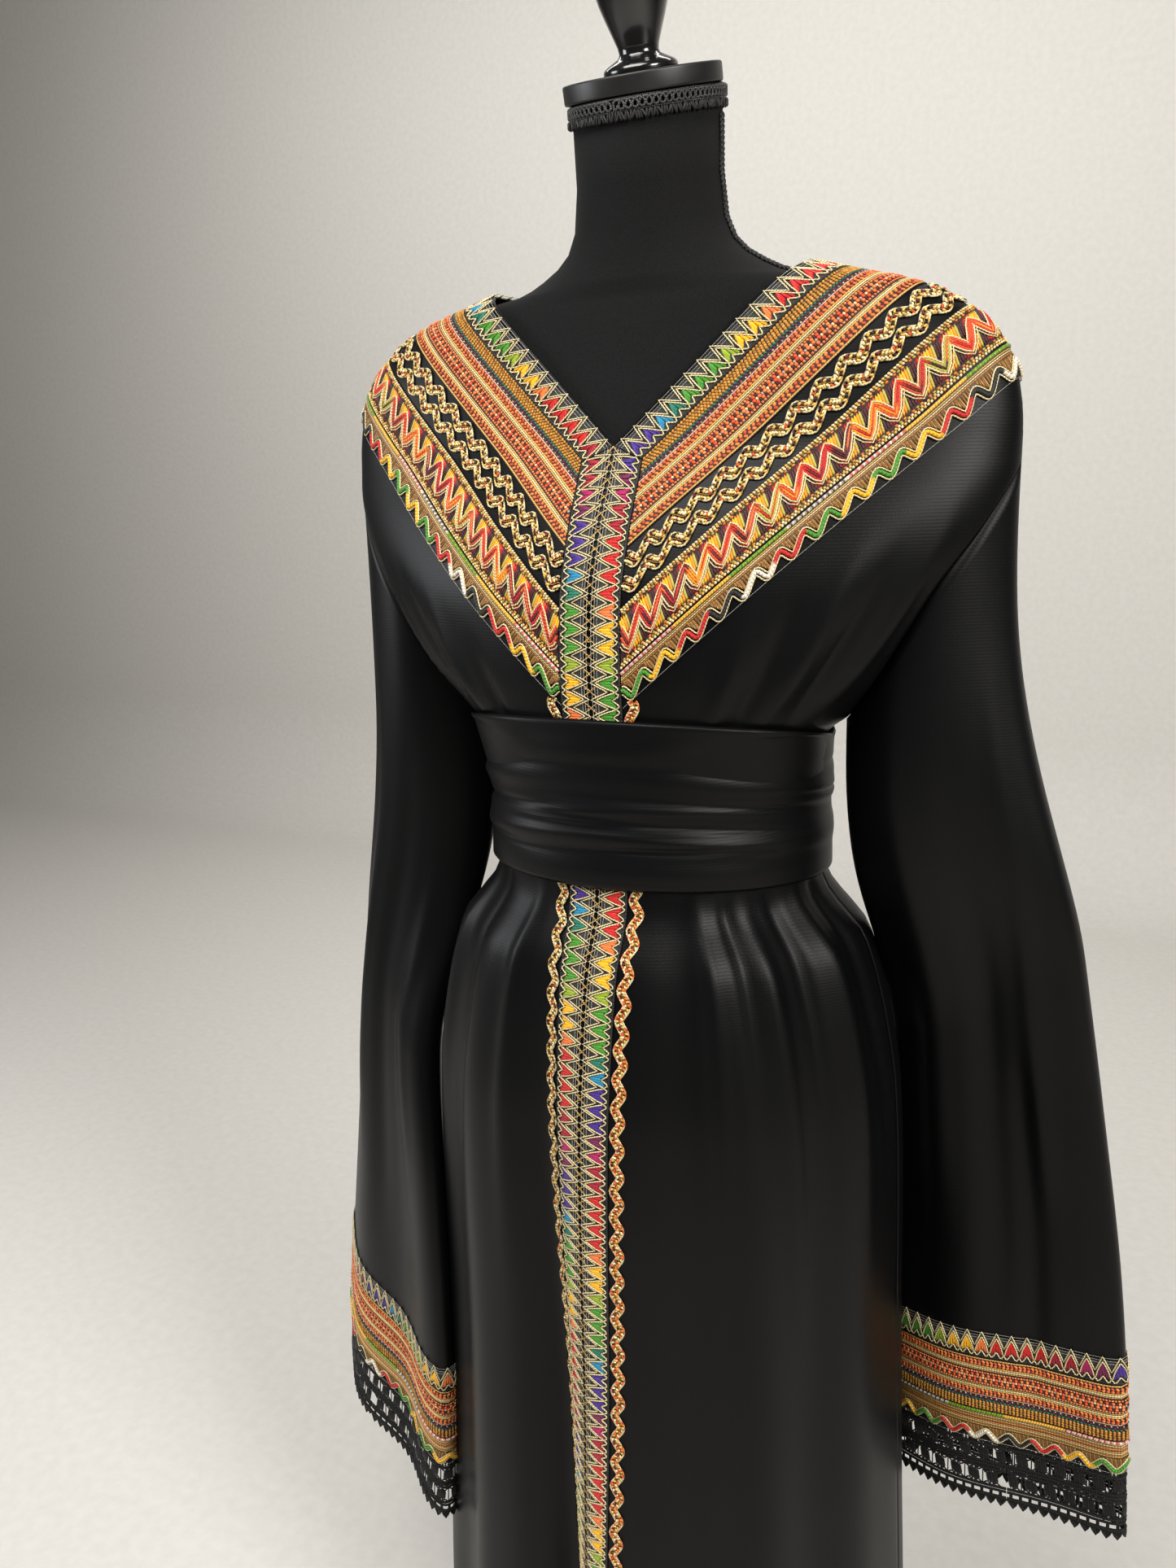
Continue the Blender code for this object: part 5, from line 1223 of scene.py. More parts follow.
# Along the V neck and the back neck, mitred at the point of the V
NECK_BRAIDS = pair("neck_braid",
                   lambda side: yoke_strip(side, 0.0003, 0.0225, (150, 60), (0.0004, 0.0217), pi - 0.008),
                   lambda sewing, side: braid(sewing, BRAID_WIDTH, 18 if side > 0 else 13, side))
print("neck braids", [len(m.data.polygons) for m in NECK_BRAIDS], "faces")

# %% Centre braids
CENTRE_BRAID_TOP, CENTRE_BRAID_MITRE, HEM_RISE = 1.2890, 0.0103, 0.004


def centre_braid(sewing, side):
    """Braid down the centre, its open edge to the middle, with a gold zigzag that crosses the other braid's."""
    length = sewing.strip.length
    braid(sewing, CENTRE_BRAID_WIDTH, 17 if side > 0 else 13, -side)
    sewing.cord(*zigzag(length, length / round(length / BRAID_PITCH), 0.0078, -0.0004, 0.5, step=3), 0.00045, GOLD,
                0.0010)
    flecks = np.arange(0.001, length, 0.0030)
    sewing.stitch(flecks, 0.0032 + 0.0026 * np.sin(flecks * 2900), np.sin(flecks * 1700), 0.0022, 0.0009,
                  cycle([CREAM, BRONZE, BLACK, GOLD, PLUM, SILVER, BLACK], np.arange(len(flecks))), 0.0007, 0.0009)


CENTRE_BRAIDS = pair("centre_braid",
                     lambda side: centre_strip(side, 0.0002, 0.0217, CENTRE_BRAID_TOP, HEM_HEIGHT + HEM_RISE,
                                               CENTRE_BRAID_MITRE), centre_braid)
print("centre braids", [len(m.data.polygons) for m in CENTRE_BRAIDS], "faces")

# %% [markdown]
# ## Woven band
#
# The wide orange band is a row of rows: mustard and orange chevrons of slanted stitches, teal and burgundy dots, gold
# cords, and orange bars with maroon squares between them in two staggered rows. Each row is one call with its own
# place, pitch and colours, so the band reads like a weaver's chart.

# %% Woven band
YOKE_BAND_WIDTH, CUFF_BAND_WIDTH, FEATHER_LEAN = 0.0442, 0.0505, 0.75
ORANGE_FEATHER = [ORANGE, ORANGE, (0.85, 0.26, 0.05), RUST]


def chevrons(sewing, across, width, pitch, tints, fill):
    """Row of stitch pairs that lean together like a feather."""
    count = int(sewing.strip.length / pitch)
    along = (np.arange(count) + 0.5) * pitch
    for way in (-1, 1):
        tint = cycle(tints, np.arange(count) + (way > 0))
        sewing.stitch(along, across + way * width / 4, way * FEATHER_LEAN, width * 0.64, pitch * fill, tint, 0.0011,
                      0.0013)


def dots(sewing, across, pitch, length, width, tints, phase=0.0, slant=0.0, up=0.0011, thick=0.0011):
    """Row of separate stitches."""
    count = int(sewing.strip.length / pitch)
    along = (np.arange(count) + phase) * pitch
    sewing.stitch(along, across, slant, length, width, cycle(tints, np.arange(count)), up, thick)


def woven_band(sewing, width, mustard_at):
    """All rows of the band, from its mustard edge to its orange edge; mustard_at is 0 or the width."""
    def place(share):
        return abs(mustard_at - share * width)

    def cords(*rows):
        for share, radius, tint in rows:
            sewing.straight(place(share), radius, tint)

    sewing.ground(MAROON_GROUND, 0.0, width)
    chevrons(sewing, place(0.045), 0.0042, 0.0031, [MUSTARD, (0.64, 0.31, 0.03), MUSTARD, OLD_GOLD], 0.66)
    chevrons(sewing, place(0.128), 0.0038, 0.0031, [MUSTARD, MUSTARD, (0.66, 0.33, 0.05)], 0.72)
    dots(sewing, place(0.188), 0.0030, 0.0024, 0.0017, [TEAL, (0.01, 0.22, 0.16), TEAL, (0.02, 0.10, 0.10)])
    dots(sewing, place(0.222), 0.0030, 0.0024, 0.0014, [MAROON, DARK_RED, MAROON, PLUM], 0.5)
    dots(sewing, place(0.250), 0.0044, 0.0013, 0.0012, [WHITE, PINK, SILVER])
    cords((0.280, 0.00062, PINK))
    chevrons(sewing, place(0.345), 0.0050, 0.0034, ORANGE_FEATHER, 0.68)
    cords((0.410, 0.0007, GOLD), (0.443, 0.0007, CREAM), (0.474, 0.0006, GOLD))
    for share in (0.512, 0.716):
        dots(sewing, place(share), 0.0023, 0.0020, 0.0017, [ORANGE, (0.85, 0.30, 0.10)], 0.25)
    for share, phase, tints in ((0.562, 0.0, [MAROON]), (0.614, 0.0, [SILVER, CREAM]), (0.666, 0.5, [MAROON])):
        dots(sewing, place(share), 0.0046, 0.0021, 0.0023, tints, phase + 0.5, thick=0.0013)
        dots(sewing, place(share), 0.0046, 0.0029, 0.0026, [ORANGE, (0.85, 0.24, 0.06), ORANGE, RED_ORANGE], phase,
             up=0.0013, thick=0.0015)
    cords((0.768, 0.0006, GOLD), (0.798, 0.0007, CREAM), (0.830, 0.0007, GOLD))
    chevrons(sewing, place(0.900), 0.0052, 0.0034, ORANGE_FEATHER, 0.68)
    cords((0.978, 0.0007, GOLD))


# On both sides of the yoke, with the mustard edge to the neck
YOKE_BANDS = pair("yoke_chevron", lambda side: yoke_strip(side, 0.0238, 0.0680, (120, 16)),
                  lambda sewing, side: woven_band(sewing, YOKE_BAND_WIDTH, 0.0))
print("woven bands", [len(m.data.polygons) for m in YOKE_BANDS], "faces")

# %% [markdown]
# ## Rick-rack
#
# Rick-rack is a flat braid woven in a zigzag. Three cords are laid along one rounded zigzag path, with slanted gold
# stitches between them and dark red flecks, which is how the real braid looks from close by.

# %% Rick-rack
RICKRACK_STRIP, RICKRACK_STITCH_STEP, DARK_FLECKS = 0.0075, 0.0026, [MAROON, GOLD, BLACK, RED_ORANGE, DARK_RED, CREAM]


def rickrack(sewing, period, swing, width, phase, flecks):
    """Zigzag braid down the middle of its strip: knitted loops of cream and gold with dark flecks."""
    along, across = zigzag(sewing.strip.length, period, RICKRACK_STRIP - swing, RICKRACK_STRIP + swing, phase, 0.75, 6)
    point = np.arange(len(along))
    for share, radius, tints in ((-0.42, 0.0007, [CREAM, CREAM, GOLD, flecks[0], CREAM]), (0.0, 0.0005, [OLD_GOLD]),
                                 (0.42, 0.0007, [CREAM, flecks[2], CREAM, GOLD])):
        sewing.cord(*beside(along, across, share * width), radius, cycle(tints, point * 5 // 3), 0.0011)
    steps = np.concatenate([[0], np.cumsum(np.hypot(np.diff(along), np.diff(across)))])
    places = np.arange(0.0012, steps[-1], RICKRACK_STITCH_STEP)
    middle, line, slope = (np.interp(places, steps, v) for v in (along, across, np.gradient(across, along)))
    angle = np.arctan(slope)
    order = np.arange(len(places))
    for way in (-1, 1):
        shift = way * width * 0.22
        fleck = (order * 7 + (way > 0) * 3) % 5 < 2
        tint = np.where(fleck[:, None], cycle(flecks, order), cycle([CREAM, GOLD], order))
        slant = angle + way * 0.8 + 0.35 * np.sin(order * 2.4)
        sewing.stitch(middle - np.sin(angle) * shift, line + np.cos(angle) * shift, slant, width * 0.46, 0.0020, tint,
                      0.0012 + 0.0004 * np.sin(order * 4.1), 0.0016, METAL_THREAD)


def rickracks():
    """Two on each side of the yoke, and one on each side of the centre braids."""
    made = []
    for word, side in SIDES.items():
        for name, line, period in (("inner", 0.0770, 0.0215), ("outer", 0.0900, 0.0222)):
            sewing = Sewing(yoke_strip(side, line - RICKRACK_STRIP, line + RICKRACK_STRIP, (120, 16)))
            rickrack(sewing, period, 0.0032, 0.0072, 0.0, DARK_FLECKS)
            made.append(sewing.make("yoke_rickrack_%s_%s" % (name, word)))
        sewing = Sewing(centre_strip(side, 0.0300 - RICKRACK_STRIP, 0.0300 + RICKRACK_STRIP, 1.119, HEM_HEIGHT + 0.003))
        rickrack(sewing, 0.022, 0.0026, 0.0066, 0.25,
                 [RED_ORANGE, ORANGE, RED, DARK_RED, ORANGE] if side > 0 else DARK_FLECKS)
        made.append(sewing.make("centre_rickrack_" + word))
    return made


RICKRACKS = rickracks()
print("rick-racks", [len(m.data.polygons) for m in RICKRACKS], "faces")

# %% [markdown]
# ## Wide zigzag band and corded edging
#
# The outermost band has two rows of silk blocks in warm colours with zigzag cords over them. Beyond it come thin
# cords, a row of ribbed bronze triangles, and a thick cord that runs round their points. The thick cord changes colour
# every few points and has a thin cream cord on each side.

# %% Wide zigzag band
ZIGZAG_BAND_WIDTH, ZIGZAG_PERIOD, BLOCK_LEAN = 0.0339, 0.0205, 0.38
BLOCK_COLOURS = [YELLOW, YELLOW, AMBER, OLIVE, MAROON, MAROON, DARK_RED, RED, RED_ORANGE, ORANGE]


def block_row(sewing, low, high, first):
    """Row of silk blocks that lean, side by side in the block colours."""
    pitch = ZIGZAG_PERIOD / len(BLOCK_COLOURS)
    order = np.arange(int(sewing.strip.length / pitch))
    sewing.stitch((order + 0.5) * pitch, (low + high) / 2, pi / 2 + BLOCK_LEAN, (high - low) * 1.10, pitch * 1.12,
                  cycle(BLOCK_COLOURS, order + first), 0.0009, 0.0016)


def zigzag_band(sewing, width):
    """The band between two beaded edges, with a corded zigzag down its middle."""
    sewing.ground(MAROON_GROUND, 0.0, width)
    block_row(sewing, 0.0050, 0.0170, 0)
    block_row(sewing, 0.0168, width - 0.0050, 5)
    along, across = zigzag(sewing.strip.length, ZIGZAG_PERIOD, 0.0098, 0.0240, 0.1, 0.25, 5)
    fill = cycle([RED_ORANGE, RED, DARK_RED, AMBER, RED_ORANGE, RUST, OLIVE], along // ZIGZAG_PERIOD)
    deep = cycle([DARK_RED, RED, MAROON, ORANGE, RED, RED_ORANGE, AMBER, RED], along // 0.0103)
    for shift, tint in ((-0.0015, fill), (0.0, deep), (0.0015, fill)):
        sewing.cord(*beside(along, across, shift), 0.00095, tint, 0.0019, COTTON_CORD)
    for shift, radius in ((-0.0028, 0.00065), (0.0028, 0.00065), (0.0047, 0.00045)):
        sewing.cord(*beside(along, across, shift), radius, CREAM, 0.0022)
    for edge, way in ((0.0, 1), (width, -1)):
        for row, tints in ((0.0009, [CREAM, GOLD, CREAM]), (0.0025, [GOLD, CREAM, GOLD, OLD_GOLD])):
            dots(sewing, edge + way * row, 0.0026, 0.0023, 0.0017, tints, row * 200, 0.35 * way, 0.0013, 0.0017)
        dots(sewing, edge + way * 0.0041, 0.0034, 0.0026, 0.0014, [ORANGE, OLIVE, AMBER, MAROON])


ZIGZAG_BANDS = pair("yoke_zigzag", lambda side: yoke_strip(side, 0.0998, 0.1337, (130, 16)),
                    lambda sewing, side: zigzag_band(sewing, ZIGZAG_BAND_WIDTH))
print("zigzag bands", [len(m.data.polygons) for m in ZIGZAG_BANDS], "faces")

# %% Corded edging
WAVE_COLOURS = [GREEN, YELLOW, RED, BLACK, WHITE, RED, GREEN, YELLOW]
CHAIN_COLOURS = [(RED, WHITE), (YELLOW, GOLD), (GREEN, LIME), (WHITE, BLACK)]
CHAIN_STEP, CHAIN_RUN, FINE_CORDS, RIBS = 0.0022, 0.050, (GOLD, CREAM, MUSTARD, GOLD, RUST), 4


def edging(sewing, line, valley, tip, period):
    """Thin cords at the line, triangles below them and the wave round their points."""
    length = sewing.strip.length
    count = max(int(round(length / period)), 1)
    period = length / count
    sewing.ground(BRONZE_GROUND, 0.0, valley - 0.0022)
    runs = np.linspace(0, length, int(length / CHAIN_STEP))
    chain = np.array(CHAIN_COLOURS)[(runs // CHAIN_RUN).astype(int) % 4]
    sewing.cord(runs, 0.0014, 0.0012, chain[np.arange(len(runs)), np.arange(len(runs)) % 2], 0.0013)
    for k, across in enumerate(np.arange(0.0036, line + 0.0002, 0.00135)):
        sewing.straight(across, 0.00062, FINE_CORDS[k % 5])
    middle = (np.arange(count) + 0.5) * period
    for k in range(-RIBS, RIBS + 1):
        reach = (tip - 0.0030 - line) * (1 - abs(k) / 5.6)
        tint = BRONZE if k % 2 else (0.33, 0.17, 0.04)
        sewing.stitch(middle + k * period * 0.082, line + 0.0006 + reach / 2, pi / 2, reach, period * 0.10, tint,
                      0.0009, 0.0013, METAL_THREAD)
    along, across = zigzag(length, period, valley - 0.0018, tip - 0.0018, 0.0, 0.8, 7)
    sewing.cord(along, across, 0.0015, cycle(WAVE_COLOURS, along // (period * 1.35)), 0.0015, COTTON_CORD)
    for shift in (-0.0021, 0.0021):
        sewing.cord(*beside(along, across, shift), 0.0006, CREAM, 0.0014)
    sewing.straight(tip + 0.0004, 0.00016, CLEAR, 0.0010)


YOKE_EDGINGS = pair("yoke_scallop", lambda side: yoke_strip(side, 0.1348, 0.1565, (130, 16)),
                    lambda sewing, side: edging(sewing, 0.0062, 0.0128, 0.0212, 0.0200))
print("edgings", [len(m.data.polygons) for m in YOKE_EDGINGS], "faces")

# %% [markdown]
# ## Cuffs
#
# The cuffs carry the same trims in a stack: braid with its teeth up, woven band with its orange edge up, and edging.
# A cuff strip runs all the way round the sleeve, so its last row of points meets its first.

# %% Cuff trims
# First colour of each cuff's braid, and which way the rainbow runs
CUFF_COLOURS = {"left": (17, -1), "right": (9, 1)}


def cuff_strip(word, top, bottom, start=0.0, end=SLEEVE_COLUMNS, count=361, inset=0.0):
    """Strip round the cuff between two rises above the end of the satin, top edge first."""
    columns = np.linspace(start, end, count)
    grid = cuff_point(word, columns[:, None], np.linspace(top, bottom, STRIP_COLUMNS)[None, :])
    strip = Strip(grid, top - bottom, grid.reshape(-1, 3).mean(0))
    middle = sleeve_ring(word, np.linspace(0, 2 * pi, 60), SLEEVE_END[word][0]).mean(0)
    if np.sum((grid - middle)[..., :2] * strip.normal[..., :2]) < 0:
        strip.normal = -strip.normal
    strip.across = np.cross(strip.normal, strip.along)
    if np.sum(strip.across * np.gradient(grid, axis=1)) < 0:
        strip.across = -strip.across
    if inset:
        strip.grid = strip.grid - strip.normal * inset
    return strip


def cuffs():
    """Three trims round each cuff."""
    made = []
    for word in SIDES:
        sewing = Sewing(cuff_strip(word, 0.1020, 0.0768))
        braid(sewing, CUFF_BRAID_WIDTH, *CUFF_COLOURS[word])
        made.append(sewing.make("cuff_braid_" + word))
        sewing = Sewing(cuff_strip(word, 0.0758, 0.0253))
        woven_band(sewing, CUFF_BAND_WIDTH, CUFF_BAND_WIDTH)
        made.append(sewing.make("cuff_chevron_" + word))
        sewing = Sewing(cuff_strip(word, 0.0245, -0.0065))
        edging(sewing, 0.0150, 0.0212, 0.0290, 0.0190)
        made.append(sewing.make("cuff_scallop_" + word))
    return made


CUFFS = cuffs()
print("cuffs", [len(m.data.polygons) for m in CUFFS], "faces")

# %% [markdown]
# ## Lace
#
# The black lace is corded: braids run along it, leaves of satin stitch stand upright in two rows, and the holes
# between the leaves are split by thin threads. Small sharp teeth finish its lower edge. It is made of the same two
# things as the trims, stitches and cords, with no ground, so the holes are real.

# %% Lace
# Column of the sleeve where each half starts; a half goes round nine columns, less a gap
LACE_STARTS, LACE_SPAN, LACE_GAP, LACE_INSET = {"outer": -5.0, "inner": 4.0}, 9, 0.02, 0.0008
LEAF_PITCH, TOOTH_PITCH, YARN_STEP = 0.0160, 0.0085, 0.003
# Where the straight yarns lie, and their radii
LACE_YARNS = ((0.0008, 0.0016), (0.0036, 0.0011), (0.0118, 0.0013), (0.0282, 0.0011), (0.0312, 0.0013),
              (0.0345, 0.0011), (0.0515, 0.0012), (0.0548, 0.0011), (0.0612, 0.0014))
# Upper and lower line of each zigzag, its period, phase and radius
LACE_ZIGZAGS = ((0.0040, 0.0115, 0.0062, 0.0, 0.0008), (0.0040, 0.0115, 0.0062, 0.5, 0.0008),
                (0.0286, 0.0340, 0.0062, 0.0, 0.0007), (0.0622, 0.0690, 0.0085, 0.0, 0.0012))
# Upper and lower line of each row of leaves, and how far the row is shifted
LEAF_ROWS = ((0.0122, 0.0278, 0.25), (0.0349, 0.0511, 0.75))


def leaf_row(sewing, yarn, low, high, places, pitch):
    """Row of upright leaves, a thread between each two, and a pointed bow from each leaf to its neighbours."""
    length = sewing.strip.length
    for slide, share in ((0.0, 1.0), (-0.0020, 0.88), (0.0020, 0.88), (-0.0039, 0.66), (0.0039, 0.66)):
        sewing.stitch(places + slide, (low + high) / 2, pi / 2, (high - low) * share, 0.0023, BLACK, 0.0,
                      0.0020 if slide else 0.0024, LACE_LEAF)
    for place in places + 0.5 * pitch:
        if 0.001 < place < length - 0.001:
            yarn(np.full(4, place), np.linspace(low - 0.0004, high + 0.0004, 4), 0.0006)
    share = np.linspace(0, 1, 6)
    for reach in (-pitch / 2, pitch / 2):
        for place in places:
            if min(place, place + reach) > 0 and max(place, place + reach) < length:
                for level, bow in ((low, 0.0035), (high, -0.0035)):
                    yarn(place + reach * share, level + bow * (1 - np.abs(2 * share - 1)), 0.0007)


def lace_half(word, name):
    """Half of a cuff's lace, from under the edging to its toothed edge."""
    start = LACE_STARTS[name]
    sewing = Sewing(cuff_strip(word, 0.0010, -0.0700, start + LACE_GAP, start + LACE_SPAN - LACE_GAP, 181, LACE_INSET))
    length = sewing.strip.length
    count = int(round(length / LEAF_PITCH))
    pitch = length / count

    def yarn(along, across, radius):
        sewing.cord(along, across, radius, BLACK, 0.0, LACE_YARN)

    for across, radius in LACE_YARNS:
        sewing.straight(across, radius, BLACK, 0.0, LACE_YARN, YARN_STEP)
    for low, high, period, phase, radius in LACE_ZIGZAGS:
        yarn(*zigzag(length, period, low, high, phase, 0.2, 2), radius)
    for low, high, shift in LEAF_ROWS:
        leaf_row(sewing, yarn, low, high, (np.arange(count) + shift) * pitch, pitch)
    for phase in (0.25, 0.33, 0.75, 0.83):
        for place in (np.arange(int(length / pitch)) + phase) * pitch:
            yarn(np.full(3, place), np.linspace(0.0548, 0.0612, 3), 0.0008)
    teeth = (np.arange(int(length / TOOTH_PITCH)) + 0.5) * TOOTH_PITCH
    for slide, drop in ((0.0, 0.0056), (-0.0014, 0.0036), (0.0014, 0.0036)):
        sewing.stitch(teeth + slide, 0.0618 + drop / 2, pi / 2, drop, 0.0020, BLACK, 0.0, 0.0014, LACE_LEAF)
    return sewing.make("lace_%s_%s" % (word, name))


LACES = [lace_half(word, name) for word in SIDES for name in LACE_STARTS]
print("laces", [len(m.data.polygons) for m in LACES], "faces")

# %% [markdown]
# ## Dress form and stand
#
# The form is a limbless torso under black jersey. Its neck leans forward and ends in a satin black disc with a gloss
# turned finial. A looped gimp with a short fringe goes round below the disc, and a braided cord covers each side seam.
# The foot is out of the picture, so it gets only the pole and the round base that such a form needs.

# %% Torso
# Height, half width, front depth and back depth
FORM_TORSO = [
    (0.760, 0.150, 0.104, 0.088), (0.830, 0.158, 0.110, 0.094), (0.930, 0.140, 0.099, 0.080),
    (1.020, 0.117, 0.088, 0.064), (1.090, 0.124, 0.100, 0.068), (1.150, 0.146, 0.112, 0.078),
    (1.200, 0.164, 0.104, 0.080), (1.250, 0.178, 0.085, 0.077), (1.290, 0.186, 0.0690, 0.072),
    (1.350, 0.192, 0.0560, 0.060), (1.372, 0.190, 0.0520, 0.054), (1.3835, 0.181, 0.0500, 0.051)]
FORM_NECK = [
    (1.4015, 0.1120, 0.0500, 0.0490), (1.4060, 0.0980, 0.0495, 0.0485), (1.4120, 0.0860, 0.0490, 0.0480),
    (1.4200, 0.0730, 0.0490, 0.0475), (1.4300, 0.0630, 0.0490, 0.0470), (1.4450, 0.0565, 0.0500, 0.0470),
    (1.4750, 0.0530, 0.0530, 0.0470), (1.5310, 0.0530, 0.0620, 0.0430)]
NECK_TILT, FORM_COLUMNS = radians(16), 64
# The torso's top lies under the shoulders at two of the body's heights, a little lower and shallower
SHOULDER_HEIGHTS, SHOULDER_DROP, SHOULDER_SHARE = (1.392, 1.3975), 0.0022, 0.9


def form_ring(section, lean, count):
    """One ring of the form; lean tips it forward with the neck."""
    height, half_width, front_depth, back_depth = section
    angle = np.linspace(0, 2 * pi, count, endpoint=False)
    y = -np.where(np.cos(angle) > 0, front_depth, back_depth) * np.cos(angle)
    return np.stack([half_width * np.sin(angle), y, height + lean * tan(NECK_TILT) * y], -1)


def form_torso():
    """Torso of rings, closed at the top and at its flat underside."""
    rows = list(FORM_TORSO)
    for height in SHOULDER_HEIGHTS:
        rows.append((height - SHOULDER_DROP, smooth(BODY, 1, height), smooth(BODY, 2, height) * SHOULDER_SHARE,
                     smooth(BODY, 3, height) * SHOULDER_SHARE))
    grid = [form_ring(row, 0.0, FORM_COLUMNS) for row in rows]
    last = len(FORM_NECK) - 1
    grid += [form_ring(row, (k / last) ** 2, FORM_COLUMNS) for k, row in enumerate(FORM_NECK)]
    grid = [grid[0] * [0.96, 0.96, 1] + [0, 0, 0.0002], grid[0] + [0, 0, 0.003]] + grid[1:]
    mesh = mesh_of("form_torso_jersey", grid, quads(len(grid), FORM_COLUMNS, closed=True), JERSEY, (0, 0, 1.2))
    with edited(mesh) as build:
        bmesh.ops.holes_fill(build, edges=[e for e in build.edges if e.is_boundary])
        bmesh.ops.recalc_face_normals(build, faces=build.faces)
    mesh.shade_smooth()
    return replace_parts(new_object("form_torso_jersey", mesh), "form_torso")


TORSO = form_torso()
print("torso", len(TORSO.data.polygons), "faces")

# %% Disc, finial, pole and base
DISC_RADIUS, DISC_THICKNESS, DISC_GAP, FINIAL_GAP = 0.056, 0.0125, 0.0003, 0.0006
BASE_RADIUS, BASE_THICKNESS = 0.165, 0.014


def neck_frame():
    """Place of the neck's top, tipped forward."""
    middle = (FORM_NECK[-1][3] - FORM_NECK[-1][2]) / 2
    place = Matrix.Translation((0.0, middle, FORM_NECK[-1][0] + tan(NECK_TILT) * middle))
    return place @ Matrix.Rotation(NECK_TILT, 4, "X")


def turned(name, profile, material, place, node, steps):
    """Solid of revolution from a profile of (radius, height), placed in its mesh."""
    angles = np.linspace(0, 2 * pi, steps, endpoint=False)
    grid = [np.stack([radius * np.cos(angles), radius * np.sin(angles), np.full(steps, height)], -1)
            for radius, height in profile]
    mesh = turned_out(mesh_of(name, grid, quads(len(grid), steps, closed=True), material))
    mesh.transform(place)
    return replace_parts(new_object(name, mesh), node)


def rounded(profile, size, steps):
    """Profile with each inner corner rounded by a short curve."""
    result = [profile[0]]
    for before, corner, after in zip(profile, profile[1:], profile[2:]):
        before, corner, after = (np.array(p, float) for p in (before, corner, after))
        into, out = corner - before, after - corner
        reach = min(size, np.linalg.norm(into) * 0.45, np.linalg.norm(out) * 0.45)
        first = corner - into / max(np.linalg.norm(into), 1e-9) * reach
        last = corner + out / max(np.linalg.norm(out), 1e-9) * reach
        for t in np.linspace(0, 1, steps):
            result.append(tuple(first * (1 - t) ** 2 + 2 * corner * t * (1 - t) + last * t * t))
    return result + [profile[-1]]


# Radius and height, from the tip down
FINIAL_PROFILE = [
    (0.0, 0.112), (0.005, 0.1115), (0.0082, 0.108), (0.0082, 0.101), (0.0068, 0.0985), (0.0105, 0.0955),
    (0.0165, 0.090), (0.0215, 0.0835), (0.0252, 0.0765), (0.0269, 0.069), (0.0272, 0.060), (0.0264, 0.052),
    (0.0243, 0.043), (0.0208, 0.033), (0.0170, 0.0232), (0.0146, 0.0168), (0.0138, 0.0128), (0.0150, 0.0105),
    (0.0190, 0.0085), (0.0232, 0.0064), (0.0256, 0.0045), (0.0262, 0.0030), (0.0262, 0.0), (0.0, 0.0)]
POLE_PROFILE = [(0.0, 0.7597), (0.0128, 0.7597), (0.014, 0.7585), (0.014, 0.0155), (0.0128, 0.0143), (0.0, 0.0143)]
disc_edge = rounded([(0.0, DISC_THICKNESS), (DISC_RADIUS, DISC_THICKNESS), (DISC_RADIUS, 0.0), (0.0, 0.0)], 0.0018, 5)
base_edge = rounded([(0.0, BASE_THICKNESS), (0.160, BASE_THICKNESS), (BASE_RADIUS, 0.009), (BASE_RADIUS, 0.0),
                     (0.0, 0.0)], 0.003, 4)
seat, ground = neck_frame(), Matrix.Identity(4)
DISC = turned("form_neck_disc_wood", disc_edge, STAINED, seat @ Matrix.Translation((0, 0, DISC_GAP)), "form_neck_disc",
              96)
FINIAL = turned("form_finial_wood", FINIAL_PROFILE, LACQUER,
                seat @ Matrix.Translation((0, 0, DISC_THICKNESS + FINIAL_GAP)), "form_finial", 64)
POLE = turned("stand_pole_steel", POLE_PROFILE, STEEL, ground, "stand_pole", 40)
BASE = turned("stand_base_steel", base_edge, STEEL, ground, "stand_base", 96)
print("finial", len(FINIAL.data.polygons), "faces, base", len(BASE.data.polygons))

# %% Gimp and side cords
GIMP_COLUMNS, GIMP_DEPTH, GIMP_PITCH, FRINGE_STEP = 160, 0.0142, 0.0044, 0.0017
GIMP_BLACK, FRINGE_BLACK, SIDE_CORD_BLACK = (0.030, 0.030, 0.031), (0.028, 0.028, 0.029), (0.010, 0.010, 0.010)
# Pitch, radius and winding of the three strands of a side cord, how far it lies off the neck, and where it ends
STRAND_PITCH, STRAND_RADIUS, STRAND_DEEP, STRAND_WIDE, CORD_STEP = 0.0105, 0.0013, 0.0007, 0.0016, 0.0009
CORD_LIFT, CORD_TOP, CORD_REACH = 0.0013, FORM_NECK[-1][0] - 0.0145 - 0.0052, 0.1165


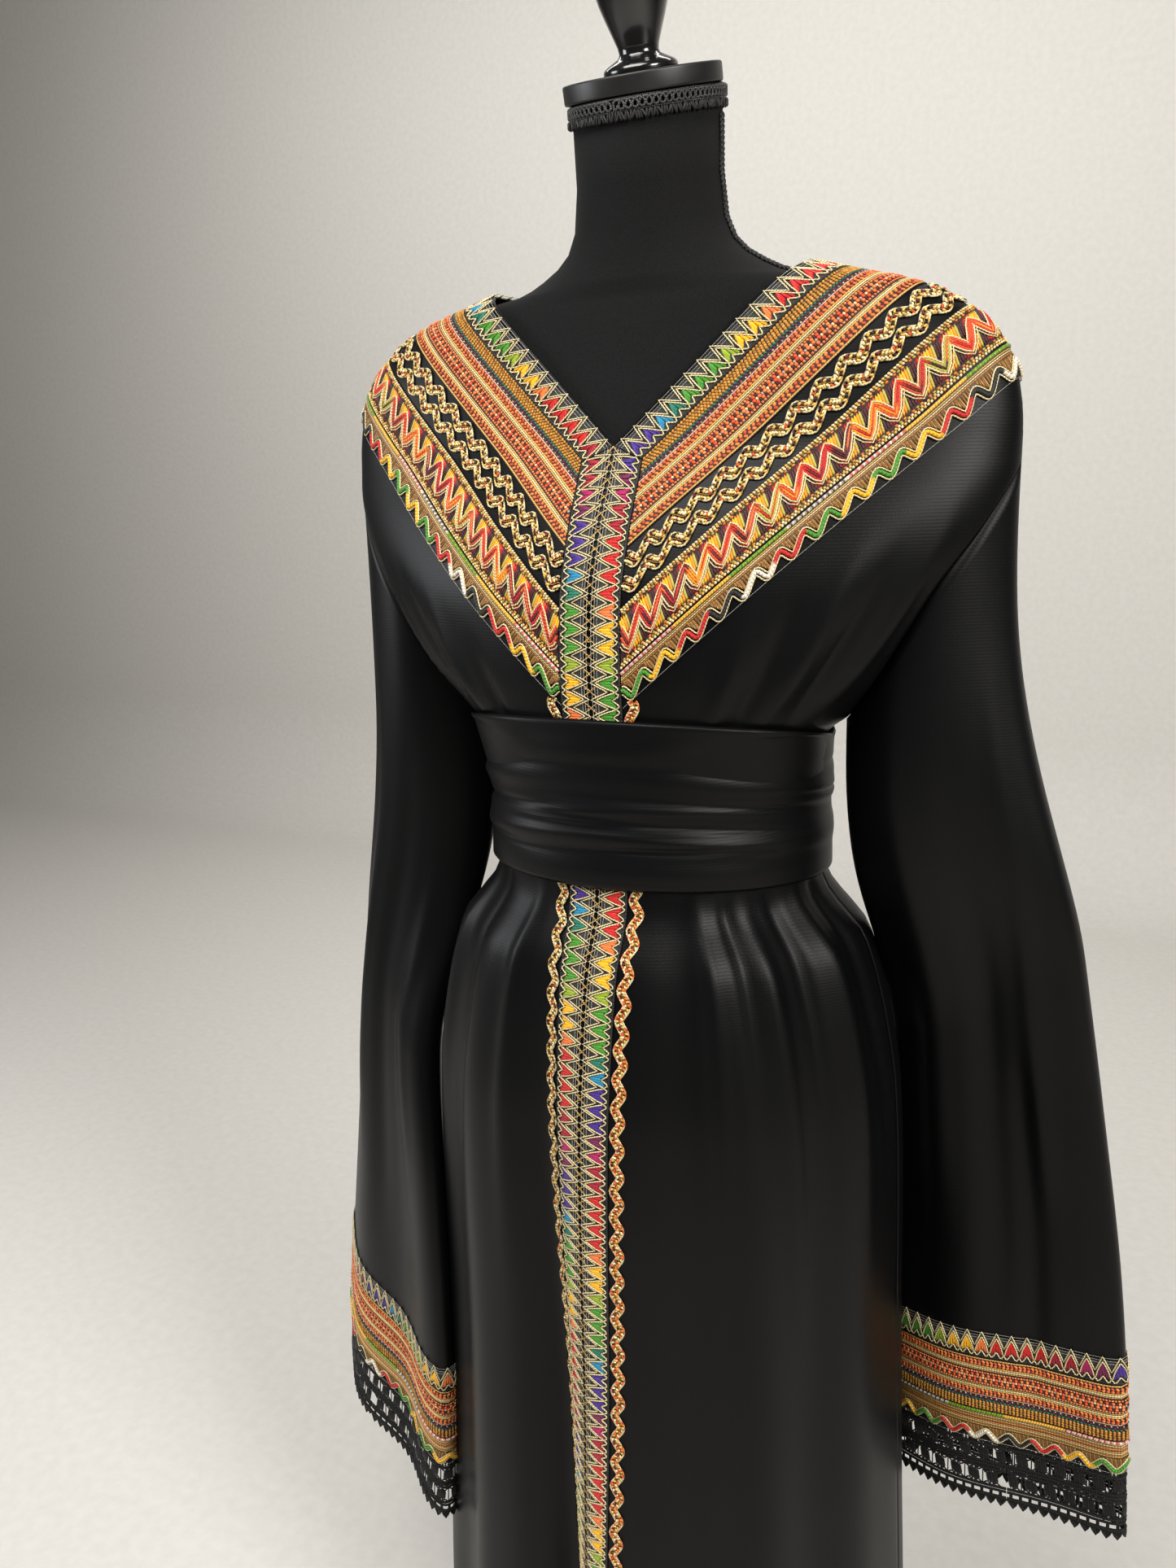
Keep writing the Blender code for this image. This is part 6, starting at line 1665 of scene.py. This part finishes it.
def gimp():
    """Band of looped gimp round the neck's top, with a short fringe below it."""
    high, low = form_ring(FORM_NECK[-1], 1.0, GIMP_COLUMNS), form_ring(FORM_NECK[-2], (6 / 7) ** 2, GIMP_COLUMNS)
    drops = np.linspace(0.0008, 0.0150, STRIP_COLUMNS) / (FORM_NECK[-1][0] - FORM_NECK[-2][0])
    ring = np.concatenate([np.arange(GIMP_COLUMNS), [0]])
    grid = np.stack([high[ring] * (1 - d) + low[ring] * d for d in drops], 1)
    sewing = Sewing(Strip(grid, GIMP_DEPTH, (0, 0, 1.5)))
    length = sewing.strip.length
    sewing.ground(JERSEY, 0.0004, 0.0110, 0.0003)
    runs = np.linspace(0, length, GIMP_COLUMNS)
    for across, radius in ((0.0007, 0.0008), (0.0088, 0.0010)):
        sewing.cord(runs, across, radius, BLACK, 0.0018, GIMP_CORD)
    turns = int(length / GIMP_PITCH)
    t = np.linspace(0, turns, turns * 10 + 1)
    along, across = t / turns * length + 0.0030 * np.cos(2 * pi * t), 0.0046 + 0.0032 * np.sin(2 * pi * t)
    sewing.cord(along, across, 0.00095, GIMP_BLACK, 0.0026, GIMP_CORD)
    fringe = np.arange(0.0008, length, FRINGE_STEP)
    wave = np.sin(fringe * 900) * np.sin(fringe * 377)
    sewing.stitch(fringe, 0.0122, pi / 2 + wave * 0.6, 0.0066, 0.0016, FRINGE_BLACK, 0.0020 + 0.0014 * np.abs(wave),
                  0.0016, LACE_LEAF)
    return sewing.make("form_neck_gimp", "looped")


GIMP = gimp()


def side_cord(word, side):
    """Braided cord over the form's side seam, three strands wound round each other."""
    outline = [(row[1], row[0]) for row in reversed(FORM_NECK)]
    outline[0] = (outline[0][0], CORD_TOP)
    path = np.array(outline + [(float(smooth(BODY, 1, h)), h - SHOULDER_DROP) for h in reversed(SHOULDER_HEIGHTS)])
    steps = np.concatenate([[0], np.cumsum(np.hypot(*np.diff(path, axis=0).T))])
    fine = np.arange(0, steps[-1], CORD_STEP)
    x, z = np.interp(fine, steps, path[:, 0]), np.interp(fine, steps, path[:, 1])
    dx, dz = np.gradient(x), np.gradient(z)
    size = np.hypot(dx, dz)
    away = np.stack([-dz / size, np.zeros(len(x)), dx / size], -1)
    middle = np.stack([x, np.zeros(len(x)), z], -1) + away * CORD_LIFT
    keep = middle[:, 0] < CORD_REACH
    middle, away, fine = middle[keep], away[keep], fine[keep]
    meshes, sideways = [], np.array([0.0, 1.0, 0.0])
    for strand in range(3):
        turn = 2 * pi * (fine / STRAND_PITCH + strand / 3)[:, None]
        line = middle + away * np.sin(2 * turn) * STRAND_DEEP + sideways * np.sin(turn) * STRAND_WIDE
        line[:, 0] *= side
        lines = bpy.data.meshes.new("strand")
        order = np.arange(len(line) - 1)
        lines.from_pydata(line.tolist(), np.stack([order, order + 1], -1).tolist(), [])
        point_field(lines, "tint", "FLOAT_COLOR", with_alpha(np.tile(SIDE_CORD_BLACK, (len(line), 1))))
        settings = {"Radius": STRAND_RADIUS, "Sides": 6, "Material": COTTON_CORD}
        meshes.append(grown(new_object("strand", lines), CORDS, settings))
    thing = joined("form_side_cord_%s_braided" % word, meshes)
    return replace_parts(thing, "form_side_cord_" + word)


SIDE_CORDS = [side_cord(word, side) for word, side in SIDES.items()]
print("gimp", len(GIMP.data.polygons), "faces, cords", [len(c.data.polygons) for c in SIDE_CORDS])

# %% [markdown]
# ## Room, light and camera
#
# A pale floor runs up into a pale wall. One soft panel hangs above the front of the dress, a strong one stands to the
# right, a weak one to the left, and a fourth washes the wall. The world adds a little pale light. The camera stands
# where the photographer stood: close, to the right of the middle and tipped down a little.

# %% Stage
FLOOR_FRONT, WALL_PLACE, WALL_HEIGHT, STAGE_SIDE, COVE = -2.4, 3.0, 5.0, 6.0, 0.45
WARM, COOL, NEARLY_WHITE = (1.0, 0.97, 0.92), (0.95, 0.97, 1.0), (1.0, 0.98, 0.94)
# Place, point looked at, size, watts and colour
LIGHTS = {
    "ceiling_light": ((-0.2, -1.3, 3.1), (0, 0, 1.0), (1.7, 1.2), 66, WARM),
    "right_light": ((2.3, -1.3, 2.3), (0.1, 0, 0.95), (0.9, 1.3), 84, WARM),
    "left_light": ((-2.4, -1.0, 1.7), (-0.1, 0, 1.0), (0.9, 1.3), 32, COOL),
    "wall_light": ((-0.9, 1.2, 3.2), (-0.9, 3.0, 0.7), (3.6, 0.6), 46, NEARLY_WHITE),
}
ROOM_COLOUR, ROOM_STRENGTH = (0.78, 0.77, 0.74, 1), 0.09


def backdrop():
    """Floor that curves up into a wall, which stands far enough back for a view from behind."""
    turn = np.linspace(0, pi / 2, 13)
    y = np.concatenate([[FLOOR_FRONT], WALL_PLACE - COVE + COVE * np.sin(turn), [WALL_PLACE]])
    z = np.concatenate([[0.0], COVE - COVE * np.cos(turn), [WALL_HEIGHT]])
    grid = [np.stack([np.full(len(y), x), y, z], -1) for x in (-STAGE_SIDE, STAGE_SIDE)]
    finish = Finish("pale_plaster", 0.85)
    plaster = finish.noise(60.0)
    finish.drive("Base Color", finish.ramp(plaster, (0.60, 0.585, 0.555), (0.64, 0.625, 0.595)))
    finish.relief(plaster, 0.002, 0.4)
    thing = new_object("backdrop", mesh_of("backdrop", grid, quads(2, len(y)), finish.material))
    thing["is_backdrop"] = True
    return thing


def soft_light(name, place, target, size, power, colour):
    """Square panel of soft light that looks at a point."""
    data = bpy.data.lights.new(name, "AREA")
    data.shape, data.size, data.size_y = "RECTANGLE", size[0], size[1]
    data.energy, data.color = power, colour
    lamp = new_object(name, data)
    lamp.location = place
    lamp.rotation_euler = (Vector(target) - Vector(place)).to_track_quat("-Z", "Y").to_euler()
    return lamp


backdrop()
for name, settings in LIGHTS.items():
    soft_light(name, *settings)
world = bpy.data.worlds.new("pale_room")
world.use_nodes = True
world.node_tree.nodes["Background"].inputs["Color"].default_value = ROOM_COLOUR
world.node_tree.nodes["Background"].inputs["Strength"].default_value = ROOM_STRENGTH
bpy.context.scene.world = world
bpy.context.scene.view_settings.view_transform = "Standard"
print("stage set")

# %% Camera
CAMERA_DISTANCE, CAMERA_HEIGHT, SENSOR, FOCAL_SHARE = 0.93, 1.26, 36.0, 1447 / 1927
CAMERA_TURN, CAMERA_YAW, CAMERA_PITCH, CAMERA_ROLL = radians(22), radians(3.6), radians(14), radians(1.8)


def photo_camera():
    """Camera of the photo: 22 degrees to the right, turned a little left, tipped down 14 degrees and rolled."""
    place = Vector((sin(CAMERA_TURN) * CAMERA_DISTANCE, -cos(CAMERA_TURN) * CAMERA_DISTANCE, CAMERA_HEIGHT))
    ahead, right = Vector((-sin(CAMERA_TURN), cos(CAMERA_TURN), 0)), Vector((cos(CAMERA_TURN), sin(CAMERA_TURN), 0))
    ahead, right = (ahead * cos(CAMERA_YAW) - right * sin(CAMERA_YAW),
                    right * cos(CAMERA_YAW) + ahead * sin(CAMERA_YAW))
    up = Vector((0, 0, 1))
    look, rise = (ahead * cos(CAMERA_PITCH) - up * sin(CAMERA_PITCH),
                  up * cos(CAMERA_PITCH) + ahead * sin(CAMERA_PITCH))
    x_axis, y_axis = (right * cos(CAMERA_ROLL) - rise * sin(CAMERA_ROLL),
                      rise * cos(CAMERA_ROLL) + right * sin(CAMERA_ROLL))
    data = bpy.data.cameras.new("photo_camera")
    data.sensor_fit, data.sensor_width, data.lens = "AUTO", SENSOR, SENSOR * FOCAL_SHARE
    data.clip_start, data.clip_end = 0.01, 50
    camera = new_object("photo_camera", data)
    camera.matrix_world = Matrix.Translation(place) @ Matrix((x_axis, y_axis, -look)).transposed().to_4x4()
    bpy.context.scene.camera = camera
    return camera


print("camera lens", round(photo_camera().data.lens, 2), "mm")

# %% [markdown]
# ## Last steps
#
# Every piece rides on the one body.

# %% Ride and finish
bpy.data.objects.remove(MOTIF)
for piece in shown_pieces():
    if body_of(piece) is None:
        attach(piece, "root")
